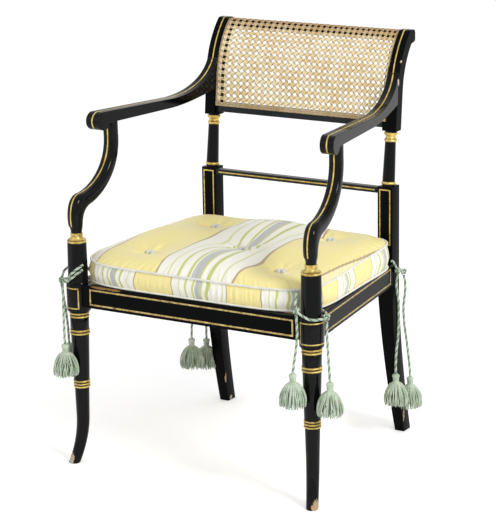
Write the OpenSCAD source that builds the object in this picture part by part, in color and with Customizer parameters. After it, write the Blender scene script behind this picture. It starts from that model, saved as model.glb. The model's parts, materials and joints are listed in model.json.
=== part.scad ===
// Regency armchair, ebonised and part gilt, with a caned scroll-over back, a caned seat,
// turned front legs on sabre feet and a loose squab cushion tied on by tasselled cords.
// The chair faces -Y, +Z is up, and the origin is on the floor under the middle of the chair.
// Left and right are the sitter's own, so left is +X.

/* [Overall] */
// Height from the floor to the top of the back
chair_h = 855; // [800:1:1030]
// Distance between the axes of the front legs
front_span = 540; // [460:1:650]
// Distance between the middles of the rear legs
rear_span = 425; // [350:1:510]
// Distance from the front leg's axis to the middle of the rear leg's block
leg_depth = 428; // [360:1:520]
// Height of the top of the seat rails
seat_h = 381; // [360:1:430]

/* [Seat rails] */
// Height of the seat rails
rail_h = 47; // [36:1:56]
// Thickness of the seat rails
rail_t = 26; // [20:0.5:32]
// How far the front rail's face stands ahead of the leg axis
front_rail_out = 18; // [14:0.5:21]
// How far a side rail's face stands outside the line from leg to leg
side_rail_out = 15; // [12:0.5:17]
// Width of the ledge that the cane lies on
ledge_w = 9; // [6:0.5:12]
// Length of a corner block along each rail
corner_l = 52; // [40:1:70]
// Height of a corner block
corner_h = 28; // [20:1:36]

/* [Front legs] */
// Diameter of the block that takes the seat rails
block_d = 48.7; // [44:0.1:56]
// How far the block reaches below the seat rails
block_drop = 12; // [6:0.5:18]
// Diameter of the gilt beads under the block
bead_d = 41; // [36:0.5:43]
// Height of a single gilt bead
bead_h = 6.5; // [4:0.5:8]
// Plain length between the two pairs of beads
collar_gap = 23; // [15:0.5:30]
// Diameter of the plain length between the beads
collar_d = 38.4; // [32:0.2:40]
// Height of the lowest gilt ring above the floor
low_ring_z = 158; // [130:1:180]
// Diameter of the lowest gilt ring
low_ring_d = 34.6; // [31:0.2:38]
// Diameter of the leg under the beads
shoulder_d = 37.2; // [32:0.1:40]
// Diameter of the leg above the lowest ring
shank_d = 32.3; // [28:0.1:34]
// Diameter of the leg below the lowest ring
ankle_d = 30; // [26:0.2:32]
// Diameter of the leg at the floor
foot_d = 24; // [20:0.5:28]
// Height at which the foot starts to sweep out
sweep_z = 97; // [70:1:130]
// How far the toe stands ahead of the leg's axis
toe_front = 22; // [10:0.5:35]
// How far the toe stands outside the leg's axis
toe_side = 10; // [0:0.5:18]
// Diameter of the post above the seat, at its foot
post_d = 40.7; // [34:0.1:42]
// Diameter of the post at its head
post_top_d = 39; // [33:0.1:41]
// Height of the post above the seat
post_h = 82; // [60:1:110]
// Diameter of the gilt neck
neck_d = 24; // [20:0.1:29]
// Height of the gilt neck with its collar
neck_h = 20; // [16:0.5:26]

/* [Rear legs] */
// Width of the rear legs
stile_w = 34; // [28:0.5:40]
// Depth of the rear leg's block
stile_d = 33; // [28:0.5:38]
// Height of the block above the seat rails
stile_block_h = 162; // [130:1:200]
// Height of the straight part of the rear leg under the seat rails
stile_drop = 4; // [0:1:20]
// Width of the rear foot
rear_foot_w = 22; // [18:0.5:28]
// Depth of the rear foot
rear_foot_d = 30; // [22:0.5:33]
// How far the rear foot sweeps back
rear_sweep = 54.5; // [30:0.5:70]
// Length of the turned column between the blocks
column_h = 112; // [90:1:140]
// Diameter of the column at its foot
column_d = 26.5; // [23:0.1:28]
// Diameter of the column at its head
column_top_d = 22.5; // [19:0.1:25]
// Diameter of the gilt rings on the column
column_ring_d = 30; // [28:0.1:30.5]

/* [Back] */
// Lean of the back behind the upright, in degrees
rake = 5.7; // [3:0.1:8]
// Thickness of the upper stile, front to back
upper_t = 24; // [20:0.5:28]
// How far the upper stile's face stands ahead of the column's axis
upper_out = 11.5; // [9:0.5:14]
// Radius of the scroll-over curve
scroll_r = 184; // [160:1:230]
// Lean of the scroll-over curve at the top, in degrees
scroll_lean = 45.1; // [38:0.1:52]
// Rounding of the front edge at the top
top_round = 10; // [6:0.5:14]
// Width of the lip over the back edge
lip_w = 11; // [8:0.5:16]
// Height of the lip
lip_h = 26; // [20:0.5:32]
// Height of the crest rail, measured down from the top
crest_h = 21.5; // [18:0.5:30]
// Height of the lower back rail
lower_rail_h = 19; // [16:0.5:24]
// Height of the lower back rail that shows below the cane
lower_rail_show = 12; // [8:0.5:16]
// Depth of the lower back rail
lower_rail_t = 18; // [14:0.5:20]
// Height of the mid rail
mid_rail_h = 12.5; // [11:0.5:20]
// Depth of the mid rail
mid_rail_t = 16; // [12:0.5:22]
// Distance from the top of the block down to the mid rail's centre
mid_rail_drop = 9; // [8:0.5:24]

/* [Arms] */
// Height of the flat underside of the arm
arm_under_z = 691; // [660:1:730]
// Thickness of the arm
arm_t = 19.5; // [17:0.5:24]
// Radius of the knuckle at the arm's front end
knuckle_r = 19; // [17:0.5:22]
// How far the knuckle reaches below the arm
knuckle_drop = 13; // [8:0.5:16]
// Distance of the knuckle's middle behind the leg's axis
knuckle_y = 84; // [70:1:100]
// Width of the arm at the knuckle
arm_w = 31; // [26:0.5:34]
// Width of the arm where it meets the stile
arm_back_w = 25.5; // [22:0.5:30]
// How far the knuckle's middle stands inside the leg's axis
arm_inset = 4; // [0:0.5:12]
// Height of the arm's upward sweep along the stile
arm_rise = 75; // [60:1:90]
// Length of the arm's upward sweep
arm_run = 150; // [120:1:190]
// Depth of the arm support's double curve, from the leg's axis to its head
support_run = 130; // [100:1:160]
// Width of the arm support
support_w = 28.5; // [22:0.5:32]
// Height of the joint between the leg and the arm support, above the neck
joint_up = 35; // [28:1:44]

/* [Cane] */
// Thickness of the woven cane
cane_t = 1.6; // [1:0.1:2.5]
// Pitch of the weave in the back
cane_pitch = 13.65; // [12:0.05:20]
// Width of the holes in the back's weave
cane_hole = 7.2; // [5:0.1:9]
// Pitch of the seat's net
seat_pitch = 26; // [25:0.5:36]
// Width of the holes in the seat's net
seat_hole = 17; // [10:0.5:20]

/* [Cushion] */
// Height of the cushion's boxing
boxing_h = 43; // [30:1:55]
// Height of the crown over the top edge
crown_h = 36; // [12:1:44]
// How much higher the top edge stands at the back
crown_rise = 10; // [0:1:16]
// How far the boxing bulges out
bulge = 6; // [2:0.5:7]
// How deep the tufts are drawn down
tuft_depth = 15; // [6:0.5:20]
// Diameter of the piping
piping_d = 5.5; // [4:0.5:7]
// Diameter of the tuft threads
tuft_d = 11; // [8:0.5:16]

/* [Ties] */
// Diameter of the tie cord
cord_d = 5.6; // [4:0.1:6]
// Diameter of a knot
knot_d = 15; // [14:0.5:17]
// Diameter of a tassel's head
tassel_head_d = 15; // [12:0.5:16]
// Height of a tassel's head
tassel_head_h = 18; // [14:0.5:22]
// Diameter of a tassel's skirt at its hem
tassel_d = 40; // [30:0.5:42]
// Height of a tassel's skirt
tassel_skirt_h = 50; // [40:0.5:60]

/* [Hidden] */
$fn = 64;

// Finishes
lacquer = [0.07, 0.07, 0.08];
beech = [0.62, 0.47, 0.30];
cane = [0.85, 0.72, 0.47];
silk = [0.94, 0.87, 0.60];
piping_blue = [0.78, 0.82, 0.86];
sage = [0.56, 0.69, 0.60];
steel = [0.65, 0.65, 0.67];

// Clearances
fit_gap = 0.2;
seam = 0.1;
soft_gap = 0.3;
overrun = 2;

// Front legs, upwards from the floor
half_front = front_span / 2;
half_rear = rear_span / 2;
rail_z = seat_h - rail_h;
block_z = rail_z - block_drop;
bead_gap = 2;
upper_bead_z = block_z - bead_gap - 2 * bead_h;
lower_bead_z = upper_bead_z - collar_gap - 2 * bead_h;
low_ring_h = 18;
post_top_z = seat_h + post_h;
neck_z = post_top_z + neck_h;
joint_z = neck_z + joint_up;
collar_out = 0.5;
low_bead_h = low_ring_h / 3;

// Rear legs, upwards from the floor
splay_z = rail_z - stile_drop;
stile_block_z = seat_h + stile_block_h;
upper_z = stile_block_z + column_h;
stile_front = leg_depth - stile_d / 2;
stile_back = leg_depth + stile_d / 2;
stile_in = half_rear - stile_w / 2;
stile_out = half_rear + stile_w / 2;
sweep_power = 1.6;

// The scroll-over back, a straight raked length and one arc
column_shift = column_h * tan(rake);
upper_front = leg_depth + column_shift - upper_out;
arc_z = chair_h - top_round - (scroll_r - top_round) * sin(scroll_lean);
bend_z = arc_z + scroll_r * sin(rake);
bend_y = upper_front + (bend_z - upper_z) * tan(rake);
arc_c = [bend_y + scroll_r * cos(rake), arc_z];
cane_sink = 2;
ledge_t = cane_sink + cane_t;
lip_round = 8;
lip_under_round = 6;
crest_z = chair_h - crest_h;
lower_rail_up = 7;
lower_rail_foot = upper_z + lower_rail_up;

// Placing the whole chair over its own middle
head_front = on_scroll(0, scroll_lean)[0] + top_round * cos(scroll_lean);
lip_back = head_front + lip_w + lip_round;
mid_y = (lip_back - toe_front - foot_d / 2) / 2;

// Side rails and arms, seen from above
side_slope = (half_front - half_rear) / leg_depth;
side_angle = atan(side_slope);
arm_front_x = half_front - arm_inset;
arm_back_x = stile_out - arm_back_w / 2;
arm_back_y = bend_y;
arm_slope = (arm_front_x - arm_back_x) / (arm_back_y - knuckle_y);
support_slope = (half_front - arm_x(support_run)) / support_run;
arm_top_z = arm_under_z + arm_t;

// Tenons and dowels
tenon_t = 9;
tenon_h = 30;
front_tenon_l = 18;
side_tenon_l = 10;
small_tenon_l = 12;
dowel_d = 10;
dowel_l = 40;
screw_d = 4.5;
screw_head_d = 8.5;
screw_head_h = 3;
screw_l = 26;

// Shared shapes

function arm_x(y) = arm_front_x - (y - knuckle_y) * arm_slope;

function unit(v) = v / norm(v);

// A point of a cubic curve between a and d, drawn by b and c
function bezier(a, b, c, d, t) =
    pow(1 - t, 3) * a + 3 * t * pow(1 - t, 2) * b + 3 * t * t * (1 - t) * c + pow(t, 3) * d;

function curve(p, steps) = [for (i = [1:steps]) bezier(p[0], p[1], p[2], p[3], i / steps)];

function turn(c, r, from, to, steps) =
    [for (i = [0:steps]) let (a = from + (to - from) * i / steps) [c[0] + r * cos(a), c[1] + r * sin(a)]];

function reversed(list) = [for (i = [len(list) - 1:-1:0]) list[i]];

// A half-round bead of a turned profile, as radius and height
function bead(r, z, h) = turn([r - h / 2, z + h / 2], h / 2, -90, 90, 6);

// A round ring square to direction t, with its first point towards ref
function ring(c, t, r, ref, n) =
    let (s = unit(cross(t, ref)), u = cross(s, t))
    [for (k = [0:n - 1]) c + r * (cos(360 * k / n) * u + sin(360 * k / n) * s)];

// Rings along a route, whose end rings lie level where flat is true
function route_rings(p, r, ref, n, flat) =
    [for (i = [0:len(p) - 1])
        let (end = i == 0 || i == len(p) - 1, t = unit(p[min(i + 1, len(p) - 1)] - p[max(i - 1, 0)]))
        ring(p[i], end && flat ? [0, 0, sign(t[2])] : t, r, ref, n)];

// A skin over rings of n points each, capped at both ends or closed into a loop
module skin(rings, n, closed = false) {
    m = len(rings);
    spans = closed ? m : m - 1;
    sides = [for (i = [0:spans - 1]) for (k = [0:n - 1])
        let (j = (i + 1) % m, q = (k + 1) % n, a = i * n + k, b = i * n + q, c = j * n + k, d = j * n + q)
        each [[a, c, b], [b, c, d]]];
    foot = [for (k = [1:n - 2]) [0, k, k + 1]];
    head = [for (k = [1:n - 2]) [(m - 1) * n, (m - 1) * n + k + 1, (m - 1) * n + k]];
    polyhedron([for (r = rings) each r], closed ? sides : concat(sides, foot, head));
}

module place() {
    translate([0, -mid_y, 0]) children();
}

// side is 1 on the sitter's left and -1 on the right
module mirrored(side) {
    mirror([side < 0 ? 1 : 0, 0, 0]) children();
}

// An outline in Y and Z, extruded across the chair from x0 to x1
module across(x0, x1, outline) {
    translate([x0, 0, 0])
        rotate([90, 0, 90]) linear_extrude(x1 - x0) polygon(outline);
}

module box(low, high) {
    translate(low) cube(high - low);
}

// Front legs

function leg_profile() = concat(
    [[0, low_ring_z]],
    bead(low_ring_d / 2, low_ring_z, low_bead_h),
    bead(low_ring_d / 2, low_ring_z + low_bead_h, low_bead_h),
    bead(low_ring_d / 2, low_ring_z + 2 * low_bead_h, low_bead_h),
    [[shank_d / 2, low_ring_z + low_ring_h], [shoulder_d / 2, lower_bead_z]],
    bead(bead_d / 2, lower_bead_z, bead_h),
    bead(bead_d / 2, lower_bead_z + bead_h, bead_h),
    [[collar_d / 2, lower_bead_z + 2 * bead_h], [collar_d / 2, upper_bead_z]],
    bead(bead_d / 2, upper_bead_z, bead_h),
    bead(bead_d / 2, upper_bead_z + bead_h, bead_h),
    [[collar_d / 2, block_z - bead_gap], [block_d / 2, block_z], [block_d / 2, seat_h],
        [post_d / 2, seat_h + bead_gap], [post_top_d / 2, post_top_z]],
    bead(post_top_d / 2 + collar_out, post_top_z, bead_h),
    turn([neck_d / 2 + neck_h / 3, post_top_z + bead_h + neck_h / 3], neck_h / 3, 270, 150, 6),
    [[neck_d / 2, neck_z], [0, neck_z]]);

function sweep_out(z) = z > sweep_z ? 0 : pow(1 - z / sweep_z, 2);

function leg_r(z) = z > sweep_z
    ? (ankle_d - (ankle_d - shin_d) * (low_ring_z - z) / (low_ring_z - sweep_z)) / 2
    : (shin_d - (shin_d - foot_d) * (1 - z / sweep_z)) / 2;

shin_d = (ankle_d + foot_d) / 2;
foot_steps = 9;
foot_sides = 32;

module sabre_foot() {
    levels = concat([for (i = [0:foot_steps]) sweep_z * i / foot_steps], [low_ring_z + overrun]);
    skin([for (z = levels)
        ring([toe_side * sweep_out(z), -toe_front * sweep_out(z), z], [0, 0, 1], leg_r(z), [0, 1, 0],
            foot_sides)], foot_sides);
}

// The arm support is a loft of rounded sections on a double curve, in shares of its run and rise
support_front_shares = [[-0.112, 0.068], [-0.152, 0.185], [-0.125, 0.378], [0.132, 0.378],
    [0.451, 0.4], [0.86, 0.571], [0.832, 0.867]];
support_back_shares = [[0.085, 0.094], [0.105, 0.184], [0.164, 0.232], [0.32, 0.257],
    [0.722, 0.345], [1.037, 0.573], [0.99, 0.888]];
support_head_shares = [[0.828, 1], [0.988, 1]];
cup_shares = [[0, 0.88], [0.022, 0.94], [0.045, 1.02]];
lower_steps = 5;
upper_steps = 9;
section_sides = 20;

function on_support(s) = [s[0] * support_run, neck_z + s[1] * (arm_under_z - neck_z)];

// A rounded section between a front point f and a back point b, given in Y and Z
function section(f, b, w, power) =
    [for (k = [0:section_sides - 1])
        let (a = 360 * k / section_sides, u = sign(cos(a)) * pow(abs(cos(a)), 2 / power),
            v = sign(sin(a)) * pow(abs(sin(a)), 2 / power), p = (f + b) / 2 + v * (b - f) / 2)
        [half_front - p[0] * support_slope + u * w / 2, p[0], p[1]]];

function support_span(first, i, n, w, power) =
    let (f = support_front_shares, b = support_back_shares, k = first)
    section(on_support(bezier(f[k], f[k + 1], f[k + 2], f[k + 3], i / n)),
        on_support(bezier(b[k], b[k + 1], b[k + 2], b[k + 3], i / n)), w, power);

function cup_section(s) =
    let (z = neck_z + s[0] * (arm_under_z - neck_z), r = s[1] * neck_d / 2)
    section([-r, z], [r, z], 2 * r, 2);

module support_blank() {
    skin(concat(
        [for (s = cup_shares) cup_section(s)],
        [for (i = [0:lower_steps]) support_span(0, i, lower_steps, support_w, 2.2 + i / lower_steps)],
        [for (i = [1:upper_steps]) support_span(3, i, upper_steps, support_w, 3.2)],
        [section(on_support(support_head_shares[0]), on_support(support_head_shares[1]), support_w, 3.2)]),
        section_sides);
}

// A strip seen from above, with its middle on a slanting line
module plan_strip(x0, slope, y0, w0, y1, w1, z0, z1) {
    function mid(y) = x0 - y * slope;
    translate([0, 0, z0]) linear_extrude(z1 - z0)
        polygon([[mid(y0) - w0 / 2, y0], [mid(y0) + w0 / 2, y0],
            [mid(y1) + w1 / 2, y1], [mid(y1) - w1 / 2, y1]]);
}

module front_leg(side) {
    color(lacquer) place() mirrored(side) difference() {
        union() {
            translate([half_front, 0, 0]) rotate_extrude() polygon(leg_profile());
            translate([half_front, 0, 0]) sabre_foot();
            intersection() {
                support_blank();
                below_joint();
            }
        }
        front_tenon(fit_gap);
        side_tenon_front(fit_gap);
        stub_dowel(fit_gap / 2);
    }
}

module below_joint() {
    translate([0, -support_run, 0]) cube([2 * half_front, 3 * support_run, joint_z]);
}

module stub_dowel(gap) {
    translate([half_front, 0, joint_z - dowel_l / 2 - gap])
        cylinder(d = dowel_d + 2 * gap, h = dowel_l + 2 * gap);
}

// Rear legs

function splay(z) = z > splay_z ? 0 : rear_sweep * pow((splay_z - z) / splay_z, sweep_power);

function splay_d(z) = stile_d - (stile_d - rear_foot_d) * pow((splay_z - z) / splay_z, 0.8);

splay_steps = 9;

function lower_outline() =
    let (zs = [for (i = [0:splay_steps]) splay_z * i / splay_steps])
    concat([for (z = zs) [leg_depth + splay(z) - splay_d(z) / 2, z]],
        [[stile_front, stile_block_z], [stile_back, stile_block_z]],
        [for (z = reversed(zs)) [leg_depth + splay(z) + splay_d(z) / 2, z]]);

module lower_stile() {
    intersection() {
        across(stile_in, stile_out, lower_outline());
        translate([0, stile_back + 2 * rear_sweep, 0]) rotate([90, 0, 0])
            linear_extrude(2 * stile_d + 2 * rear_sweep)
            polygon([[half_rear + stile_w / 2, stile_block_z], [half_rear - stile_w / 2, stile_block_z],
                [half_rear - stile_w / 2, splay_z], [half_rear + stile_w / 2 - rear_foot_w, 0],
                [half_rear + stile_w / 2, 0]]);
    }
}

capital_h = 22.5;
astragal_out = 2;
cove_r = 4;
abacus_h = 7.5;
abacus_in = 1;
fillet_h = 3;

// A ring at the foot, then a taper, and a capital of a bead, a cove, an abacus and a fillet
function column_profile() =
    let (l = column_h / cos(rake), r0 = column_d / 2, r1 = column_top_d / 2, ring_r = column_ring_d / 2,
        cap_z = l - capital_h, cove_z = cap_z + bead_h + cove_r, abacus_r = ring_r - abacus_in,
        fillet_r = upper_out - seam)
    concat([[0, -overrun], [r0, -overrun], [r0, overrun]],
        bead(ring_r, overrun, bead_h), [[r0, overrun + bead_h], [r1, cap_z]],
        bead(r1 + astragal_out, cap_z, bead_h),
        turn([abacus_r, cove_z], cove_r, 250, 150, 5),
        [[abacus_r, l - abacus_h], [abacus_r, l - fillet_h], [fillet_r, l - fillet_h],
        [fillet_r, l + overrun], [0, l + overrun]]);

module column() {
    translate([half_rear, leg_depth, stile_block_z]) rotate([-rake, 0, 0])
        rotate_extrude() polygon(column_profile());
}

// The back's own line: a point at lean a on the scroll's arc, sunk below the face by inset
function on_scroll(inset, a) = arc_c + (scroll_r - inset) * [-cos(a), sin(a)];

arc_steps = 14;

// The front of the back, from the lower block to the lip's lower edge, sunk by inset
function face_line(inset) =
    let (lean = scroll_lean, shift = inset / cos(rake),
        c = on_scroll(top_round, lean), r = top_round - inset,
        lip = lip_round - inset)
    concat([[upper_front + shift, upper_z]],
        [for (i = [0:arc_steps]) on_scroll(inset, rake + (lean - rake) * i / arc_steps)],
        [for (i = [1:4]) let (a = 180 - lean - (90 - lean) * i / 4) c + r * [cos(a), sin(a)]],
        turn([lip_back - lip_round, chair_h - lip_round], lip, 90, 0, 4),
        turn([lip_back - lip_under_round, chair_h - lip_h + lip_under_round],
            lip_under_round - inset, 0, -90, 3));

// The back edge, from under the lip down to the lower block
function rear_line() =
    let (lean = asin((chair_h - lip_h - lip_under_round / 2 - arc_c[1]) / (scroll_r - upper_t)))
    concat([for (i = [0:arc_steps]) on_scroll(upper_t, lean + (rake - lean) * i / arc_steps)],
        [[upper_front + upper_t / cos(rake), upper_z]]);

module upper_stile() {
    across(stile_in + ledge_w, stile_out, concat(face_line(0), rear_line()));
    across(stile_in, stile_in + ledge_w, concat(face_line(ledge_t), rear_line()));
}

module rear_stile(side) {
    color(lacquer) place() mirrored(side) difference() {
        union() {
            lower_stile();
            column();
            upper_stile();
        }
        side_tenon_rear(fit_gap);
        rear_tenon(fit_gap);
        mid_tenon(fit_gap);
        lower_tenon(fit_gap);
        crest_tenon(fit_gap);
        arm_tenon(fit_gap);
    }
}

// Tenons, each grown by gap to cut its mortise

module front_tenon(gap) {
    y = -front_rail_out + rail_t / 2;
    z = rail_z + rail_h / 2;
    x1 = half_front - block_d / 2 + front_tenon_l;
    box([half_front - block_d, y - tenon_t / 2 - gap, z - tenon_h / 2 - gap],
        [x1 + gap, y + tenon_t / 2 + gap, z + tenon_h / 2 + gap]);
}

// Runs its children in the frame of the sitter's left side rail, with x outwards and y backwards
module on_side_rail() {
    translate([half_front, 0, 0]) rotate([0, 0, side_angle]) children();
}

module side_tenon(y0, y1, gap) {
    x = side_rail_out - rail_t / 2;
    z = rail_z + rail_h / 2;
    on_side_rail() box([x - tenon_t / 2 - gap, y0, z - tenon_h / 2 - gap],
        [x + tenon_t / 2 + gap, y1, z + tenon_h / 2 + gap]);
}

module side_tenon_front(gap) {
    side_tenon(block_d / 2 - front_tenon_l - gap, block_d, gap);
}

module side_tenon_rear(gap) {
    y = stile_front / cos(side_angle);
    side_tenon(y - rail_t, y + side_tenon_l + gap, gap);
}

module inner_tenon(y, z, t, h, gap) {
    box([stile_in - small_tenon_l, y - t / 2 - gap, z - h / 2 - gap],
        [stile_in + small_tenon_l + gap, y + t / 2 + gap, z + h / 2 + gap]);
}

rear_rail_back = 1;
mid_rail_in = 2;
rear_rail_y = leg_depth + rear_rail_back;
mid_rail_y = stile_front + mid_rail_in + mid_rail_t / 2;
mid_rail_z = stile_block_z - mid_rail_drop;
lower_rail_z = lower_rail_foot + lower_rail_h / 2;
lower_rail_y = face_y(lower_rail_z) + ledge_t + lower_rail_t / 2;
crest_tenon_t = 14;
crest_tenon_h = 9;
crest_tenon_y = lip_back - lip_w - crest_tenon_t / 3;
crest_tenon_z = crest_z + 0.4 * crest_h;
arm_tenon_z = arm_under_z + arm_rise * 0.55;
arm_tenon_l = 10;
arm_tenon_h = 24;

module rear_tenon(gap) {
    inner_tenon(rear_rail_y, rail_z + rail_h / 2, tenon_t, tenon_h, gap);
}

module mid_tenon(gap) {
    inner_tenon(mid_rail_y, mid_rail_z, tenon_t, mid_rail_h / 2, gap);
}

module lower_tenon(gap) {
    inner_tenon(lower_rail_y, lower_rail_z, tenon_t, lower_rail_h / 2, gap);
}

module crest_tenon(gap) {
    inner_tenon(crest_tenon_y, crest_tenon_z, crest_tenon_t, crest_tenon_h, gap);
}

module arm_tenon(gap) {
    y = face_y(arm_tenon_z);
    box([arm_x(y) - tenon_t / 2 - gap, y - arm_tenon_l, arm_tenon_z - arm_tenon_h / 2 - gap],
        [arm_x(y) + tenon_t / 2 + gap, y + arm_tenon_l + gap, arm_tenon_z + arm_tenon_h / 2 + gap]);
}

// Depth of the stile's face at a height
function face_y(z) = z < bend_z
    ? upper_front + (z - upper_z) * tan(rake)
    : arc_c[0] - sqrt(scroll_r * scroll_r - pow(z - arc_c[1], 2));

// Seat frame

module both_sides() {
    children();
    mirror([1, 0, 0]) children();
}

module seat_front_rail() {
    y0 = -front_rail_out;
    y1 = y0 + rail_t;
    color(lacquer) place() {
        difference() {
            box([-half_front, y0, rail_z], [half_front, y1, seat_h]);
            both_sides() translate([half_front, 0, rail_z - overrun])
                cylinder(d = block_d + 2 * seam, h = rail_h + 2 * overrun);
            box([-half_front, y1 - ledge_w, seat_h - ledge_t],
                [half_front, y1 + overrun, seat_h + overrun]);
            both_sides() corner_screw(false, fit_gap);
        }
        both_sides() intersection() {
            front_tenon(0);
            translate([half_front, 0, rail_z])
                cylinder(d = block_d + 4 * seam, h = rail_h);
        }
    }
}

module seat_rear_rail() {
    y0 = rear_rail_y - rail_t / 2;
    color(lacquer) place() {
        difference() {
            box([-stile_in, y0, rail_z], [stile_in, y0 + rail_t, seat_h]);
            box([-half_front, y0 - overrun, seat_h - ledge_t],
                [half_front, y0 + ledge_w, seat_h + overrun]);
            both_sides() corner_screw(true, fit_gap);
        }
        both_sides() intersection() {
            rear_tenon(0);
            box([stile_in, 0, 0], [half_rear, 2 * leg_depth, seat_h]);
        }
    }
}

module seat_side_rail(side) {
    y1 = stile_front / cos(side_angle);
    x0 = side_rail_out - rail_t;
    color(lacquer) place() mirrored(side) {
        difference() {
            on_side_rail() box([x0, 0, rail_z], [side_rail_out, y1 + rail_t, seat_h]);
            translate([half_front, 0, rail_z - overrun])
                cylinder(d = block_d + 2 * seam, h = rail_h + 2 * overrun);
            box([0, stile_front, rail_z - overrun], [half_front, 2 * leg_depth, seat_h + overrun]);
            on_side_rail() box([x0 - overrun, 0, seat_h - ledge_t],
                [x0 + ledge_w, 2 * y1, seat_h + overrun]);
        }
        intersection() {
            side_tenon_front(0);
            translate([half_front, 0, rail_z]) cylinder(d = block_d + 4 * seam, h = rail_h);
        }
        intersection() {
            side_tenon_rear(0);
            box([0, stile_front, 0], [half_front, 2 * leg_depth, seat_h]);
        }
    }
}

// Inner face of the side rail at a depth, and the seat's open field inside the rails
function rail_in(y) = half_front - y * side_slope - (rail_t - side_rail_out) / cos(side_angle);
field_front = rail_t - front_rail_out;
field_back = rear_rail_y - rail_t / 2;

module corner_block_blank(back) {
    y = back ? field_back : field_front;
    d = back ? -1 : 1;
    x = rail_in(y);
    translate([0, 0, rail_z + (rail_h - ledge_t - corner_h) / 2]) linear_extrude(corner_h)
        polygon([[x, y], [rail_in(y + d * corner_l), y + d * corner_l], [x - corner_l, y]]);
}

module leg_room(gap) {
    translate([half_front, 0, 0]) cylinder(d = block_d + 2 * gap, h = chair_h);
    box([stile_in - gap, stile_front - gap, 0], [stile_out + gap, stile_back + gap, chair_h]);
}

// Screws run square to the front and rear rails, one in each corner
screw_in_share = 0.62;
screw_deep_share = 0.2;

module corner_screw(back, gap) {
    y = back ? field_back : field_front;
    d = back ? -1 : 1;
    x = rail_in(y) - corner_l * screw_in_share;
    z = rail_z + (rail_h - ledge_t) / 2;
    shank = corner_l * screw_deep_share + screw_l / 2;
    translate([x, y + d * corner_l * screw_deep_share, z]) rotate([d * 90, 0, 0]) {
        cylinder(d = screw_d + 2 * gap, h = shank + gap);
        translate([0, 0, -screw_head_h]) cylinder(d = screw_head_d + 2 * gap, h = screw_head_h);
    }
}

module corner_blocks() {
    color(beech) place() both_sides() for (back = [false, true]) difference() {
        corner_block_blank(back);
        leg_room(seam);
        corner_screw(back, fit_gap);
        screw_pocket(back);
    }
}

module screw_pocket(back) {
    y = back ? field_back : field_front;
    d = back ? -1 : 1;
    x = rail_in(y) - corner_l * screw_in_share;
    translate([x, y + d * (corner_l * screw_deep_share + screw_head_h), rail_z + (rail_h - ledge_t) / 2])
        rotate([-d * 90, 0, 0]) cylinder(d = screw_head_d + 2 * fit_gap, h = corner_l);
}

module corner_screws() {
    color(steel) place() both_sides() for (back = [false, true]) corner_screw(back, 0);
}

module seat_cane_panel() {
    y0 = field_front - ledge_w + seam;
    y1 = field_back + ledge_w - seam;
    grip = ledge_w / cos(side_angle) - seam;
    rows = floor((field_back - field_front - seat_hole) / seat_pitch);
    row_y = (field_front + field_back) / 2;
    color(cane) place() {
        translate([0, 0, seat_h - ledge_t]) linear_extrude(cane_t) difference() {
            polygon([[-rail_in(y0) - grip, y0], [rail_in(y0) + grip, y0],
                [rail_in(y1) + grip, y1], [-rail_in(y1) - grip, y1]]);
            both_sides() {
                translate([half_front, 0]) circle(d = block_d + 2 * soft_gap);
                translate([stile_in - soft_gap, stile_front - soft_gap]) square([2 * stile_w, 2 * stile_d]);
            }
            for (j = [0:rows]) {
                y = row_y + (j - rows / 2) * seat_pitch;
                cols = floor((2 * rail_in(y + seat_hole / 2) - seat_hole) / seat_pitch);
                clear = (y < seat_pitch + field_front || y > field_back - seat_pitch) ? 1 : 0;
                for (i = [clear:cols - clear])
                    translate([(i - cols / 2) * seat_pitch, y]) circle(d = seat_hole / cos(22.5), $fn = 8);
            }
        }
    }
}

// Back

module back_mid_rail() {
    color(lacquer) place() {
        box([-stile_in, mid_rail_y - mid_rail_t / 2, mid_rail_z - mid_rail_h / 2],
            [stile_in, mid_rail_y + mid_rail_t / 2, mid_rail_z + mid_rail_h / 2]);
        both_sides() intersection() {
            mid_tenon(0);
            box([stile_in, 0, 0], [half_rear + stile_w, 2 * leg_depth, chair_h]);
        }
    }
}

// The lower rail is raked with the back and has a ledge for the cane
function lower_rail_outline() =
    let (z0 = lower_rail_foot, zl = z0 + lower_rail_show, z1 = z0 + lower_rail_h,
        a = cane_sink / cos(rake), b = ledge_t + lower_rail_t)
    [[face_y(z0) + a, z0], [face_y(zl) + a, zl], [face_y(zl) + ledge_t / cos(rake), zl],
        [face_y(z1) + ledge_t / cos(rake), z1], [face_y(z1) + b, z1], [face_y(z0) + b, z0]];

module back_lower_rail() {
    color(lacquer) place() {
        across(-stile_in, stile_in, lower_rail_outline());
        both_sides() intersection() {
            lower_tenon(0);
            box([stile_in, 0, 0], [half_rear + stile_w, 2 * leg_depth, chair_h]);
        }
    }
}

// All that lies behind the back's face
function behind_face() = concat(face_line(0), [[2 * leg_depth, chair_h], [2 * leg_depth, upper_z]]);

// The crest rail fills the top of the stile's outline under the cane, with the whole of the lip
function crest_outline() = concat(face_line(ledge_t), rear_line());

module crest_rail() {
    color(lacquer) place() {
        intersection() {
            across(-stile_in, stile_in, crest_outline());
            union() {
                box([-half_front, leg_depth, crest_z], [half_front, 2 * leg_depth, chair_h]);
                box([-half_front, lip_back - lip_w, upper_z], [half_front, 2 * leg_depth, chair_h]);
            }
        }
        both_sides() intersection() {
            crest_tenon(0);
            box([stile_in, 0, 0], [half_rear + stile_w, 2 * leg_depth, chair_h]);
        }
    }
}

// Cane, with its open field between the lower rail and the crest rail
cane_foot_z = lower_rail_foot + lower_rail_show;
cane_open_z = lower_rail_foot + lower_rail_h;
cane_r = scroll_r - cane_sink;
field_straight = (bend_z - cane_open_z) / cos(rake);
field_l = field_straight + cane_r * (asin((crest_z - arc_z) / cane_r) - rake) * PI / 180;

// Lean and height of the cane at a length along it from the lower rail
function cane_lean(s) = rake + max(0, s - field_straight) / cane_r * 180 / PI;

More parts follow.
